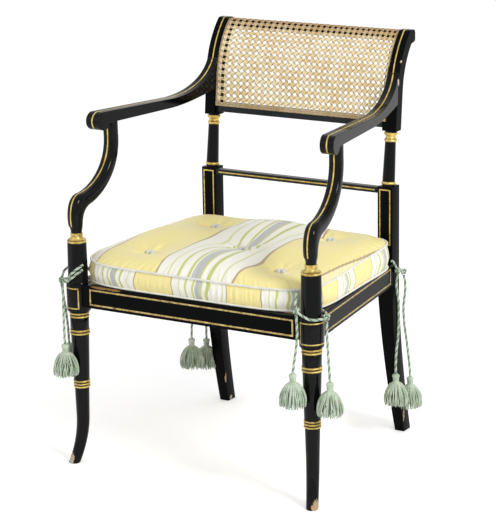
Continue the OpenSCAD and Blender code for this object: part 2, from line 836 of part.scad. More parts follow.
function cane_z(s) = s < field_straight ? cane_open_z + s * cos(rake) : arc_z + cane_r * sin(cane_lean(s));

// An eight-sided opening, made lower by a share so that it is regular along a leaning face
module opening(w, share) {
    polygon([for (k = [0:7]) let (a = 45 * k + 22.5) w / 2 / cos(22.5) * [cos(a), share * sin(a)]]);
}

module back_cane_panel() {
    edge = stile_in + ledge_w - seam;
    cols = floor((2 * stile_in - cane_hole) / cane_pitch);
    rows = round(field_l / cane_pitch);
    color(cane) place() difference() {
        intersection() {
            across(-edge, edge, concat(face_line(cane_sink), reversed(face_line(ledge_t))));
            box([-half_front, stile_front, cane_foot_z + seam], [half_front, 2 * leg_depth, chair_h]);
        }
        translate([0, stile_back + scroll_r, 0]) rotate([90, 0, 0]) linear_extrude(2 * scroll_r)
            for (j = [0:rows - 1]) for (i = [0:cols]) let (s = (j + 0.5) * field_l / rows)
                translate([(i - cols / 2) * cane_pitch, cane_z(s)])
                    opening(cane_hole, cos(cane_lean(s)));
    }
}

// Arms

// The arm from the side: knuckle, straight bar and the sweep up into the stile
arm_sweep_shares = [[0, 0], [0.5, 0], [0.92, 0.35], [1, 1]];
arm_under_shares = [[0, 0], [0.35, 0.03], [0.6, 0.13], [1, 0.29]];

function arm_outline() =
    let (end_z = arm_top_z + arm_rise, end_y = face_y(end_z), start_y = end_y - arm_run,
        knuckle = [knuckle_y, arm_under_z - knuckle_drop + knuckle_r],
        sweep = [for (s = arm_sweep_shares) [start_y + s[0] * arm_run, arm_top_z + s[1] * arm_rise]],
        under = [for (s = arm_under_shares) [start_y + s[0] * arm_run, arm_under_z + s[1] * arm_rise]])
    concat([[knuckle_y + 1.3 * knuckle_r, arm_under_z]],
        turn(knuckle, knuckle_r, -25, -258, 16),
        [sweep[0]], curve(sweep, 10),
        [[end_y + stile_d, end_z], [end_y + stile_d, under[3][1]]],
        reversed(curve(under, 6)), [under[0]]);

module arm(side) {
    color(lacquer) place() mirrored(side) difference() {
        union() {
            difference() {
                intersection() {
                    across(half_rear - stile_w, half_front + arm_w, arm_outline());
                    plan_strip(arm_front_x + knuckle_y * arm_slope, arm_slope, 0, arm_w,
                        arm_back_y + stile_d, arm_back_w, 0, chair_h);
                }
                across(0, half_front, behind_face());
            }
            arm_tenon(0);
        }
        head_dowel(fit_gap / 2);
    }
}

head_dowel_y = 0.908 * support_run;

module head_dowel(gap) {
    translate([half_front - head_dowel_y * support_slope, head_dowel_y, arm_under_z - dowel_l / 2])
        cylinder(d = dowel_d + 2 * gap, h = dowel_l / 2 + arm_t * 0.6 + gap);
}

module arm_support(side) {
    color(lacquer) place() mirrored(side) difference() {
        support_blank();
        below_joint();
        stub_dowel(fit_gap / 2);
        translate([0, 0, -fit_gap]) head_dowel(fit_gap / 2);
    }
}

module arm_dowels() {
    color(beech) place() both_sides() {
        stub_dowel(0);
        head_dowel(0);
    }
}

// Cushion

cushion_z = seat_h + 2 * soft_gap;
cushion_front_y = -9;
cushion_back_gap = 5;
cushion_back_y = stile_front - cushion_back_gap;
cushion_mid = [0, (cushion_front_y + cushion_back_y) / 2];
cushion_depth = cushion_back_y - cushion_front_y;
cushion_front_over = 6;
cushion_back_over = 14;
front_corner_power = 5.3;
back_corner_power = 9;
crown_power = 5.5;
tuft_reach = 30;
cushion_sides = 72;
piping_sides = 6;
tuft_shares = [[-0.58, 0.24], [0.58, 0.24], [0, 0.51], [-0.70, 0.85], [0.62, 0.85]];
crown_shares = [0.99, 0.95, 0.88, 0.79, 0.68, 0.56, 0.43, 0.29, 0.14];
boxing_shares = [0, 0.25, 0.5, 0.75, 1];

function depth_share(y) = (y - cushion_front_y) / cushion_depth;

function cushion_half(y) =
    half_front - y * side_slope + cushion_front_over
        + (cushion_back_over - cushion_front_over) * depth_share(y);

// Distance from the cushion's middle to its edge in direction a, as a rounded trapezium
function cushion_reach(a) =
    let (hx = cushion_half(cushion_mid[1]), hy = cushion_depth / 2,
        narrowing = (cushion_half(cushion_front_y) - cushion_half(cushion_back_y)) / cushion_depth,
        rx = abs(cos(a)) / hx * (1 + narrowing * sin(a) * hy / hx), ry = abs(sin(a)) / hy,
        p = sin(a) < 0 ? front_corner_power : back_corner_power)
    1 / pow(pow(rx, p) + pow(ry, p), 1 / p);

function cushion_edge(a, out) = cushion_mid + (cushion_reach(a) + out) * [cos(a), sin(a)];

function top_edge_z(y) = cushion_z + boxing_h + crown_rise * depth_share(y);

function tuft_at(i) =
    let (y = cushion_front_y + tuft_shares[i][1] * cushion_depth)
    [tuft_shares[i][0] * cushion_half(y), y];

function tuft_pull(p) =
    max([for (i = [0:len(tuft_shares) - 1]) exp(-pow(norm(p - tuft_at(i)) / tuft_reach, 1.3))]);

// Height of the top at a point p that lies at a share s of the way from the middle to the edge
function crown_z(p, s) =
    top_edge_z(p[1]) + crown_h * (1 - pow(s, crown_power)) - tuft_depth * tuft_pull(p) * (1 - pow(s, 12));

function crown_point(a, s) =
    let (p = cushion_mid + s * (cushion_edge(a, 0) - cushion_mid))
    [p[0], p[1], crown_z(p, s)];

function boxing_point(a, t) =
    let (e = cushion_edge(a, bulge * sin(180 * t)))
    [e[0], e[1], cushion_z + t * (top_edge_z(e[1]) - cushion_z)];

module seat_cushion() {
    turns = [for (k = [0:cushion_sides - 1]) 360 * k / cushion_sides];
    color(silk) place() difference() {
        skin(concat(
            [for (t = boxing_shares) [for (a = turns) boxing_point(a, t)]],
            [for (s = crown_shares) [for (a = turns) crown_point(a, s)]]), cushion_sides);
        tufts(soft_gap, tuft_depth);
    }
}

// Piping follows the edge of the cushion, at its foot or at its top, clear of the bulge beside it
module piping_loop(top) {
    out = piping_d / 2 + soft_gap + bulge * sin((top ? 90 : 180) * piping_d / boxing_h);
    path = [for (k = [0:cushion_sides - 1]) let (e = cushion_edge(360 * k / cushion_sides, out))
        [e[0], e[1], top ? top_edge_z(e[1]) : cushion_z + piping_d / 2]];
    m = len(path);
    skin([for (i = [0:m - 1])
        ring(path[i], unit(path[(i + 1) % m] - path[(i + m - 1) % m]), piping_d / 2, [0, 0, 1],
            piping_sides)], piping_sides, true);
}

module cushion_piping() {
    color(piping_blue) place() {
        piping_loop(false);
        piping_loop(true);
    }
}

function edge_share(p) = norm(p - cushion_mid) / cushion_reach(atan2(p[1] - cushion_mid[1], p[0]));

// The threads of the tufts, each at the bottom of its dimple
module tufts(gap, above) {
    for (i = [0:len(tuft_shares) - 1]) {
        p = tuft_at(i);
        translate([p[0], p[1], crown_z(p, edge_share(p)) - gap])
            cylinder(d = tuft_d + 2 * gap, h = tuft_d / 3 + gap + above, $fn = 24);
    }
}

module cushion_tufts() {
    color(piping_blue) place() tufts(0, 0);
}

// Ties. The points are counted from the top of the seat rail, at the axis of the leg in that corner.
// The strands go round the post, and the two ends hang from the knots.

cord_sides = 8;
knot_h = 14;

knots_front_left = [[-16, -30, 15], [33, 0, 1]];
strands_front_left = [
    [[-16, -30, 17], [-8, -26, 12], [0, -24.5, 8], [9, -22.8, 5.5], [17, -17.5, 4],
        [22.5, -9.5, 3.8], [28, -3, 3.5], [33, 0, 3]],
    [[33, 0, 5], [27, 10, 5], [20, 17.5, 6], [11, 22.5, 8], [0, 24.5, 10], [-11, 22.3, 12],
        [-20, 15, 14]],
    [[-16, -30, 18], [-20, -26, 27], [-22, -21, 37], [-23, -18, 47]]];
knots_front_right = [[-29, -16, 3]];
strands_front_right = [
    [[20, -14.5, 26], [12, -21.5, 22], [3, -24.5, 17.5], [-7, -23.5, 13], [-16, -19, 10],
        [-23, -16, 8], [-29, -16, 6]],
    [[21, -12.5, 15], [13, -21, 10.5], [3, -24.8, 6.5], [-8, -23.6, 3.8], [-17, -18.8, 3.2],
        [-23, -16.5, 1], [-29, -16, -1]],
    [[18, 16, 21], [10, 22.4, 24], [0, 24.5, 27], [-11, 22.3, 29], [-20, 15, 29],
        [-26, 5, 27], [-30, -6, 20], [-30, -14, 9]]];
knots_rear_left = [[24, -4, -15], [25, 22, -24]];
strands_rear_left = [
    [[21, -26, 10], [21.5, -18, 5], [22, -11, -5], [24, -4, -12]],
    [[24, -4, -15], [23, 8, -19], [25, 22, -24]],
    [[25, 22, -23], [15, 22, -20], [0, 20.5, -11], [-12, 20.5, -1], [-17.5, 20, 4],
        [-19.5, 15, 6.5], [-20, 6, 7], [-20, -6, 8], [-21, -16, 9]]];
knots_rear_right = [[-25, -8, -11], [-25, 19, -19]];
strands_rear_right = [
    [[-21, -26, 10], [-21.5, -20, 5], [-23, -14, -3], [-25, -8, -8]],
    [[-25, -8, -11], [-23, 6, -15], [-25, 19, -19]],
    [[-25, 19, -18], [-15, 22, -17], [0, 20.5, -10], [12, 20.5, -1], [17.5, 20, 4],
        [19.5, 15, 6.5], [20, 6, 7], [20, -6, 8], [21, -16, 9]]];

end_front_left_a = [[-16, -31, 8], [-14.5, -31.5, -10], [-13, -33, -29], [-14, -34, -48],
    [-16, -35.5, -67], [-18.5, -37, -86], [-21, -37.5, -107]];
end_front_left_b = [[33, 0, -6], [33.5, -1, -25], [35, -2, -44], [37, -3.5, -63], [39, -5, -82],
    [41, -6, -102], [42.5, -6.5, -124]];
end_front_right_a = [[-26, -18, -4], [-24.5, -20, -24], [-22.5, -23, -44], [-20, -27, -64],
    [-17, -31, -84], [-14, -35, -104], [-11, -38, -123]];
end_front_right_b = [[-32, -14, -4], [-33, -9, -24], [-33.5, -5, -43], [-34, 0, -62], [-35, 4, -81],
    [-36, 8, -100], [-36.5, 10, -119], [-37, 12, -138]];
end_rear_left_a = [[24, -4, -22], [21.5, -6, -41], [23, -5, -61], [26, -4, -81], [27, -5, -101],
    [27.5, -6, -121], [27.5, -8, -141], [27, -9, -161], [25.5, -12, -181], [25.5, -15, -201],
    [26, -17, -219], [27, -18, -235]];
end_rear_left_b = [[25, 22, -31], [29, 20, -46], [30, 18, -63], [27.5, 19, -81], [25, 20, -98],
    [24.5, 22, -116], [25.5, 23, -136], [28, 24, -156], [30.5, 25, -176], [32.5, 26, -196],
    [34.5, 27, -216], [36.5, 27, -234], [37.5, 27, -252]];
end_rear_right_a = [[-25, -8, -18], [-28, -10, -38], [-31, -12, -58], [-34, -15, -78], [-37, -17, -98],
    [-39.5, -19, -118], [-42, -21, -138], [-44, -23, -158], [-45.5, -24, -179], [-46.5, -25, -201],
    [-47, -26, -225]];
end_rear_right_b = [[-25, 19, -26], [-26, 19, -46], [-28, 19, -66], [-30, 20, -86], [-32, 20, -106],
    [-34, 21, -127], [-35.5, 21, -148], [-37, 22, -169], [-38, 22, -191], [-38.5, 22, -213],
    [-39, 22, -237]];

function last(list) = list[len(list) - 1];

module strand(route, ref, flat) {
    skin(route_rings(route, cord_d / 2, ref, cord_sides, flat), cord_sides);
}

front_left = [half_front, 0, seat_h];
front_right = [-half_front, 0, seat_h];
rear_left = [half_rear, leg_depth, seat_h];
rear_right = [-half_rear, leg_depth, seat_h];

module tie(corner, knots, strands) {
    color(sage) place() translate(corner) union() {
        for (k = knots) translate(k) cylinder(d = knot_d, h = knot_h, center = true);
        for (s = strands) strand(s, [0, 0, 1], false);
    }
}

module tie_end(corner, route) {
    color(sage) place() translate(corner) strand(route, [0, 1, 0], true);
}

// A tassel's head and its bell of yarn, hung from the end of its cord
head_shares = [[0, 0], [0.86, 0], [1, 0.06], [1, 0.33], [0.8, 1]];
skirt_shares = [[0.45, 0.04], [0.68, 0.16], [0.86, 0.42], [1, 0.92], [0.9, 1], [0, 1]];

module tassel(corner, route) {
    color(sage) place() translate(corner + last(route)) rotate_extrude() polygon(concat(
        [for (s = head_shares) [s[0] * tassel_head_d / 2, -s[1] * tassel_head_h]],
        [for (s = skirt_shares) [s[0] * tassel_d / 2, -tassel_head_h - s[1] * tassel_skirt_h]]));
}

front_leg(1);  // front_leg_left
front_leg(-1);  // front_leg_right
rear_stile(1);  // rear_stile_left
rear_stile(-1);  // rear_stile_right
seat_front_rail();
seat_rear_rail();
seat_side_rail(1);  // seat_side_rail_left
seat_side_rail(-1);  // seat_side_rail_right
corner_blocks();
corner_screws();
seat_cane_panel();
back_mid_rail();
back_lower_rail();
crest_rail();
back_cane_panel();
arm(1);  // arm_left
arm(-1);  // arm_right
arm_support(1);  // arm_support_left
arm_support(-1);  // arm_support_right
arm_dowels();
seat_cushion();
cushion_piping();
cushion_tufts();
tie(front_left, knots_front_left, strands_front_left);  // tie_front_left
tie(front_right, knots_front_right, strands_front_right);  // tie_front_right
tie(rear_left, knots_rear_left, strands_rear_left);  // tie_rear_left
tie(rear_right, knots_rear_right, strands_rear_right);  // tie_rear_right
tie_end(front_left, end_front_left_a);  // tie_end_front_left_a
tie_end(front_left, end_front_left_b);  // tie_end_front_left_b
tie_end(front_right, end_front_right_a);  // tie_end_front_right_a
tie_end(front_right, end_front_right_b);  // tie_end_front_right_b
tie_end(rear_left, end_rear_left_a);  // tie_end_rear_left_a
tie_end(rear_left, end_rear_left_b);  // tie_end_rear_left_b
tie_end(rear_right, end_rear_right_a);  // tie_end_rear_right_a
tie_end(rear_right, end_rear_right_b);  // tie_end_rear_right_b
tassel(front_left, end_front_left_a);  // tassel_front_left_a
tassel(front_left, end_front_left_b);  // tassel_front_left_b
tassel(front_right, end_front_right_a);  // tassel_front_right_a
tassel(front_right, end_front_right_b);  // tassel_front_right_b
tassel(rear_left, end_rear_left_a);  // tassel_rear_left_a
tassel(rear_left, end_rear_left_b);  // tassel_rear_left_b
tassel(rear_right, end_rear_right_a);  // tassel_rear_right_a
tassel(rear_right, end_rear_right_b);  // tassel_rear_right_b
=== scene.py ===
"""Looks of an ebonised and part gilt armchair with a caned back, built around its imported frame.

The chair faces -Y and +Z is up. Sizes in the classes are millimetres, and Y is counted from the
axis of the front legs. The function at() turns such a place into metres in the frame of the part.
"""

import json
import logging
from collections.abc import Callable, Sequence
from dataclasses import dataclass, field
from enum import Enum
from math import asin, atan, copysign, cos, degrees, dist, hypot, pi, radians, sin, sqrt, tan

import bmesh
import bpy
import numpy as np
from mathutils import Matrix, Vector

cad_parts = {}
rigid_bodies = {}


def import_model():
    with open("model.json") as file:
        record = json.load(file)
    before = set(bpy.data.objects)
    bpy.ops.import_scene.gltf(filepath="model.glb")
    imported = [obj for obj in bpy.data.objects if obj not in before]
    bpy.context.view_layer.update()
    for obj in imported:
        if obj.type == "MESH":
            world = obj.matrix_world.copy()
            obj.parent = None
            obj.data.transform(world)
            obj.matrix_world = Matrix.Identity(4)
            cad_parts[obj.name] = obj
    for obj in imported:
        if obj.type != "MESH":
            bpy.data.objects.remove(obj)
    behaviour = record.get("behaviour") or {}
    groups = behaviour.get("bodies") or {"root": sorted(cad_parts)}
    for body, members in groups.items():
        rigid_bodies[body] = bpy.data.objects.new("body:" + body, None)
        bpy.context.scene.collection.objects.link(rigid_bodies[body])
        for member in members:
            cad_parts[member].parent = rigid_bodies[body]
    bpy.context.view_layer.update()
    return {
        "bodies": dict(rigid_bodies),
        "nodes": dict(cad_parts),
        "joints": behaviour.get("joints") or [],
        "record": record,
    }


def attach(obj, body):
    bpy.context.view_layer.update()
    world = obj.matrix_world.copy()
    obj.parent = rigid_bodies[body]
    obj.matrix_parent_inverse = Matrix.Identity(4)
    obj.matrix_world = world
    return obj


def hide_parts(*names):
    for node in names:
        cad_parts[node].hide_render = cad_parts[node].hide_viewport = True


LOG = logging.getLogger("armchair")

MM = 0.001
MID_Y = 240.72779
BODY = "root"
GILT_SLOT = "gilt"

# A place has three coordinates, and a point is a depth or a radius with a height
Place = tuple[float, float, float]
Point = tuple[float, float]
Line = list[Point]
Piece = bpy.types.Object
Array = np.ndarray


def at(x: float, y: float, z: float) -> Vector:
    """Return a place of the chair, given in millimetres, in metres."""
    return Vector((x, y - MID_Y, z)) * MM


def lerp(a: float, b: float, t: float) -> float:
    """Return the value a share t of the way from a to b."""
    return a + (b - a) * t


def bezier(points: Sequence[Sequence[float]], t: float) -> Array:
    """Return the point at t on a cubic curve with four control points."""
    a, b, c, d = (np.asarray(p, float) for p in points)
    return a * (1 - t) ** 3 + 3 * b * t * (1 - t) ** 2 + 3 * c * t * t * (1 - t) + d * t**3


def through(points: Sequence[Sequence[float]], steps: int) -> Array:
    """Return a smooth curve through points, with steps spans between each pair of them."""
    p = np.asarray(points, float)
    p = np.vstack([2 * p[0] - p[1], p, 2 * p[-1] - p[-2]])
    out = []
    for i in range(1, len(p) - 2):
        for s in range(steps):
            t = s / steps
            out.append(0.5 * (2 * p[i] + (p[i + 1] - p[i - 1]) * t
                              + (2 * p[i - 1] - 5 * p[i] + 4 * p[i + 1] - p[i + 2]) * t * t
                              + (3 * p[i] - p[i - 1] - 3 * p[i + 1] + p[i + 2]) * t**3))
    return np.vstack([out, p[-2]])


def runs(points: Array) -> Array:
    """Return how far along a route of straight spans each of its points is."""
    return np.concatenate([[0], np.cumsum(np.linalg.norm(np.diff(points, axis=0), axis=1))])


def arc(y: float, z: float, r: float, start: float, end: float, steps: int) -> Line:
    """Return points of an arc about (y, z), from start to end in degrees."""
    turns = [radians(lerp(start, end, i / steps)) for i in range(steps + 1)]
    return [(y + r * cos(a), z + r * sin(a)) for a in turns]


class Side(Enum):
    """The sitter's own two sides."""

    LEFT = 1
    RIGHT = -1

    @property
    def word(self) -> str:
        """Return the side's name as the CAD nodes have it."""
        return self.name.lower()


# Modelling


class Bench:
    """Modelling moves that the parts share, made with Blender's own operators."""

    @staticmethod
    def clear() -> None:
        """Go to object mode and deselect everything."""
        if bpy.context.object and bpy.context.object.mode != "OBJECT":
            bpy.ops.object.mode_set(mode="OBJECT")
        bpy.ops.object.select_all(action="DESELECT")

    @staticmethod
    def pick(obj: Piece) -> None:
        """Make obj the only selected object, and the active one."""
        Bench.clear()
        obj.select_set(True)
        bpy.context.view_layer.objects.active = obj

    @staticmethod
    def _start(name: str, points: Sequence[Vector], fill: str) -> Piece:
        """Add a circle, open it for editing and move its corners to points."""
        Bench.clear()
        bpy.ops.mesh.primitive_circle_add(vertices=len(points), radius=1, fill_type=fill)
        obj = bpy.context.object
        obj.name = obj.data.name = name
        bpy.ops.object.mode_set(mode="EDIT")
        bm = bmesh.from_edit_mesh(obj.data)
        order = bm.verts.layers.int.new("order")
        for k, v in enumerate(bm.verts):
            v[order] = k
            v.co = points[k]
        return obj

    @staticmethod
    def _move(obj: Piece, points: Sequence[Vector]) -> None:
        """Move the selected ring of corners to points."""
        bm = bmesh.from_edit_mesh(obj.data)
        order = bm.verts.layers.int["order"]
        for v in bm.verts:
            if v.select:
                v.co = points[v[order]]

    @staticmethod
    def loft(name: str, rings: Sequence[Sequence[Vector]], closed: bool = False,
             capped: bool = True, angle: float = 35,
             marks: Sequence[float] | None = None) -> Piece:
        """Extrude a ring of corners from place to place.

        Args:
            name: Name of the piece.
            rings: Rings of the same number of points, in metres.
            closed: Whether the last ring joins the first.
            capped: Whether the two ends are filled.
            angle: Edges sharper than this, in degrees, stay sharp.
            marks: A value for each corner of a ring, kept in the attribute mark.

        Returns:
            The closed, smoothed piece.
        """
        capped = capped and not closed
        obj = Bench._start(name, rings[0], "NGON" if capped else "NOTHING")
        for ring in list(rings[1:]) + ([rings[0]] if closed else []):
            bpy.ops.mesh.extrude_edges_indiv()
            Bench._move(obj, ring)
        if capped:
            bpy.ops.mesh.edge_face_add()
        if marks is not None:
            bm = bmesh.from_edit_mesh(obj.data)
            mark = bm.verts.layers.float.new("mark")
            order = bm.verts.layers.int["order"]
            for v in bm.verts:
                v[mark] = marks[v[order]]
        Bench.close(obj, angle)
        return obj

    @staticmethod
    def slab(name: str, outline: Sequence[Vector], along: Vector, bevel: float = 0,
             angle: float = 30) -> Piece:
        """Extrude a filled outline along a vector and round its edges.

        Args:
            name: Name of the piece.
            outline: Corners of the outline, in metres.
            along: The way and length of the extrusion, in metres.
            bevel: Width of the rounding, in metres.
            angle: Edges sharper than this, in degrees, are rounded.

        Returns:
            The closed piece.
        """
        obj = Bench._start(name, outline, "NGON")
        bpy.ops.mesh.extrude_region_move(TRANSFORM_OT_translate={"value": along})
        Bench.close(obj, 35)
        if bevel:
            Bench.bevel(obj, bevel, angle=angle)
        return obj

    @staticmethod
    def close(obj: Piece, angle: float) -> None:
        """Merge doubled corners, turn the faces outwards and smooth the piece."""
        Bench.pick(obj)
        bpy.ops.object.mode_set(mode="EDIT")
        bpy.ops.mesh.select_all(action="SELECT")
        bpy.ops.mesh.remove_doubles(threshold=1e-6)
        bpy.ops.mesh.normals_make_consistent(inside=False)
        bpy.ops.object.mode_set(mode="OBJECT")
        if "order" in obj.data.attributes:
            obj.data.attributes.remove(obj.data.attributes["order"])
        bpy.ops.object.shade_smooth_by_angle(angle=radians(angle))

    @staticmethod
    def bevel(obj: Piece, width: float, segments: int = 2, angle: float = 30) -> None:
        """Round the edges of a piece that are sharper than angle."""
        Bench.pick(obj)
        mod = obj.modifiers.new("edges", "BEVEL")
        mod.width = width
        mod.segments = segments
        mod.limit_method = "ANGLE"
        mod.angle_limit = radians(angle)
        mod.harden_normals = False
        bpy.ops.object.modifier_apply(modifier=mod.name)
        bpy.ops.object.shade_smooth_by_angle(angle=radians(40))

    @staticmethod
    def array(obj: Piece, step: Vector, count: int) -> None:
        """Repeat a piece count times, a step apart, and weld what meets."""
        Bench.pick(obj)
        mod = obj.modifiers.new("repeat", "ARRAY")
        mod.count = count
        mod.use_relative_offset = False
        mod.use_constant_offset = True
        mod.constant_offset_displace = step
        mod.use_merge_vertices = True
        mod.merge_threshold = 1e-5
        bpy.ops.object.modifier_apply(modifier=mod.name)

    @staticmethod
    def cut(obj: Piece, place: Vector, normal: Vector) -> None:
        """Cut a piece by a plane and drop what lies on the side that normal points to."""
        Bench.pick(obj)
        bpy.ops.object.mode_set(mode="EDIT")
        bpy.ops.mesh.select_all(action="SELECT")
        bpy.ops.mesh.bisect(plane_co=place, plane_no=normal, use_fill=True, clear_outer=True)
        bpy.ops.object.mode_set(mode="OBJECT")

    @staticmethod
    def join(name: str, pieces: Sequence[Piece]) -> Piece:
        """Join pieces into one and name it."""
        Bench.clear()
        for piece in pieces:
            piece.select_set(True)
        bpy.context.view_layer.objects.active = pieces[0]
        if len(pieces) > 1:
            bpy.ops.object.join()
        pieces[0].name = pieces[0].data.name = name
        return pieces[0]

    @staticmethod
    def copy(obj: Piece, name: str, matrix: Matrix | None = None) -> Piece:
        """Copy a piece with a mesh of its own, moved or mirrored by matrix."""
        Bench.pick(obj)
        bpy.ops.object.duplicate(linked=False)
        twin = bpy.context.object
        twin.name = twin.data.name = name
        if matrix is not None:
            twin.data.transform(matrix)
            if matrix.determinant() < 0:
                twin.data.flip_normals()
        return twin

    @staticmethod
    def mirror(obj: Piece, name: str) -> Piece:
        """Copy a piece to the other side of the chair."""
        return Bench.copy(obj, name, Matrix.Scale(-1, 4, (1, 0, 0)))

    @staticmethod
    def shape(obj: Piece, move: Callable[[Array], Array]) -> None:
        """Move every corner of a piece by a function of all their places."""
        co = np.empty(len(obj.data.vertices) * 3)
        obj.data.vertices.foreach_get("co", co)
        obj.data.vertices.foreach_set("co", move(co.reshape(-1, 3)).ravel())
        obj.data.update()


def disc(centre: Vector, r: float, n: int, axis: Vector = Vector((0, 0, 1)),
         ref: Vector = Vector((0, 1, 0))) -> list[Vector]:
    """Return n points of a circle.

    Args:
        centre: Its centre, in metres.
        r: Its radius, in metres.
        n: The number of points.
        axis: The direction that it is square to.
        ref: The first point lies towards this direction.

    Returns:
        The points in order.
    """
    t = axis.normalized()
    s = t.cross(ref).normalized()
    u = s.cross(t)
    return [centre + r * (cos(2 * pi * k / n) * u + sin(2 * pi * k / n) * s)
            for k in range(n)]


def bead(r: float, z: float, h: float, steps: int = 8) -> Line:
    """Return a half-round bead of a turned profile as radii and heights."""
    return arc(r - h / 2, z + h / 2, h / 2, -90, 90, steps)


def tube(name: str, line: Sequence[Vector], r: float, sides: int, ref: Place,
         closed: bool = False, angle: float = 70, tip: float = 1,
         marks: Sequence[float] | None = None) -> Piece:
    """Return a round thread along a line.

    Args:
        name: Name of the piece.
        line: Its route, in millimetres.
        r: Its radius in millimetres.
        sides: Number of sides round it.
        ref: The first corner of each ring lies towards this direction.
        closed: Whether it runs round into itself.
        angle: Edges sharper than this, in degrees, stay sharp.
        tip: The share of its radius that is left at its end.
        marks: A value for each corner of a ring, kept in the attribute mark.

    Returns:
        The thread.
    """
    last = len(line) - 1
    rings = []
    for i, p in enumerate(line):
        if closed:
            along = line[0 if i == last else i + 1] - line[i - 1]
        else:
            along = line[min(i + 1, last)] - line[max(i - 1, 0)]
        rings.append(disc(p * MM, r * (tip if i == last else 1) * MM, sides, along, Vector(ref)))
    return Bench.loft(name, rings, closed=closed, angle=angle, marks=marks)


def turned(name: str, profile: Sequence[Point], foot: Place, lean: float = 0,
           sides: int = 96, ring: bool = False) -> Piece:
    """Turn a profile about an upright axis.

    Args:
        name: Name of the piece.
        profile: Radii and heights in millimetres, from the foot up.
        foot: Where the axis stands, in millimetres.
        lean: How far the axis leans back, in degrees.
        sides: Number of sides round the axis.
        ring: Whether the profile is a closed outline, as on a bead that goes round a post.

    Returns:
        The turned piece.
    """
    axis = Vector((0, sin(radians(lean)), cos(radians(lean))))
    base = at(*foot)
    rings = [disc(base + axis * z * MM, max(r, 0.001) * MM, sides, axis, Vector((1, 0, 0)))
             for r, z in profile]
    return Bench.loft(name, rings, closed=ring, angle=40)


def strip(name: str, route: Sequence[Vector], normals: Sequence[Vector], width: float = 3.0,
          height: float = 0.3, closed: bool = False) -> Piece:
    """Lay a thin gilt line along a surface.

    Args:
        name: Name of the piece.
        route: Points on the surface, in metres.
        normals: The surface's normal at each point.
        width: Width of the line in millimetres.
        height: How far it stands proud, in millimetres.
        closed: Whether the line runs round into itself.

    Returns:
        The line as a thin closed solid.
    """
    n = len(route)
    rings = []
    for i, (p, normal) in enumerate(zip(route, normals)):
        before = route[(i - 1) % n] if closed else route[max(i - 1, 0)]
        after = route[(i + 1) % n] if closed else route[min(i + 1, n - 1)]
        tin, tout = (p - before), (after - p)
        tin = tin.normalized() if tin.length > 1e-9 else tout.normalized()
        tout = tout.normalized() if tout.length > 1e-9 else tin
        along = (tin + tout).normalized()
        side = along.cross(normal).normalized()
        corner = 1 / max(sqrt(max((1 + tin.dot(tout)) / 2, 0)), 0.5)
        w = width * MM / 2 * corner
        rings.append([p + side * w * a + normal * height * MM * h for a, h in
                      ((-1, -1.2), (-0.96, 0.5), (-0.7, 1), (0.7, 1), (0.96, 0.5), (1, -1.2))])
    return Bench.loft(name, rings, closed=closed, angle=50)


def rounded(corners: Sequence[Vector], r: float, steps: int = 3) -> list[Vector]:
    """Return a closed outline whose corners are rounded by r metres."""
    out = []
    n = len(corners)
    for i, p in enumerate(corners):
        a = (corners[i - 1] - p).normalized() * r
        b = (corners[(i + 1) % n] - p).normalized() * r
        out += [(p + a) * (1 - t) ** 2 + p * 2 * t * (1 - t) + (p + b) * t * t
                for t in (k / steps for k in range(steps + 1))]
    return out


# Shader maths


class Wire:
    """A shader socket, on which Python's operators add Math nodes."""

    def __init__(self, tree: "Tree", socket: bpy.types.NodeSocket) -> None:
        """Wrap a socket of a tree."""
        self.tree = tree
        self.socket = socket

    def _math(self, operation: str, *values: "Wire | float") -> "Wire":
        """Add a Math node for an operation on some values and return its result."""
        return self.tree.add("Math", {"operation": operation}, dict(enumerate(values)))["Value"]

    @staticmethod
    def _pair(operation: str, swapped: bool = False) -> Callable[["Wire", "Wire | float"], "Wire"]:
        """Return a method that adds a Math node for a wire and another value."""
        def method(self: "Wire", other: "Wire | float") -> "Wire":
            return self._math(operation, *((other, self) if swapped else (self, other)))

        return method

    __add__ = _pair("ADD")
    __radd__ = _pair("ADD", True)
    __sub__ = _pair("SUBTRACT")
    __rsub__ = _pair("SUBTRACT", True)
    __mul__ = _pair("MULTIPLY")
    __rmul__ = _pair("MULTIPLY", True)
    most = _pair("MAXIMUM")

    def sin(self) -> "Wire":
        """Return the sine."""
        return self._math("SINE", self)

    def wave(self, pitch: float) -> "Wire":
        """Return a wave from -1 to 1 with that pitch."""
        return (self * (2 * pi / pitch)).sin()

    def step(self, low: float, high: float) -> "Wire":
        """Return a soft step from 0 at low to 1 at high."""
        node = self.tree.add("MapRange", {"interpolation_type": "SMOOTHSTEP"},
                             {"Value": self, "From Min": low, "From Max": high})
        return node["Result"]


class Nodes:
    """A node whose outputs are read as wires."""

    def __init__(self, tree: "Tree", node: bpy.types.Node) -> None:
        """Wrap a node of a tree."""
        self.tree = tree
        self.node = node

    def __getitem__(self, name: str | int) -> Wire:
        """Return the output with that name or number."""
        return Wire(self.tree, self.node.outputs[name])


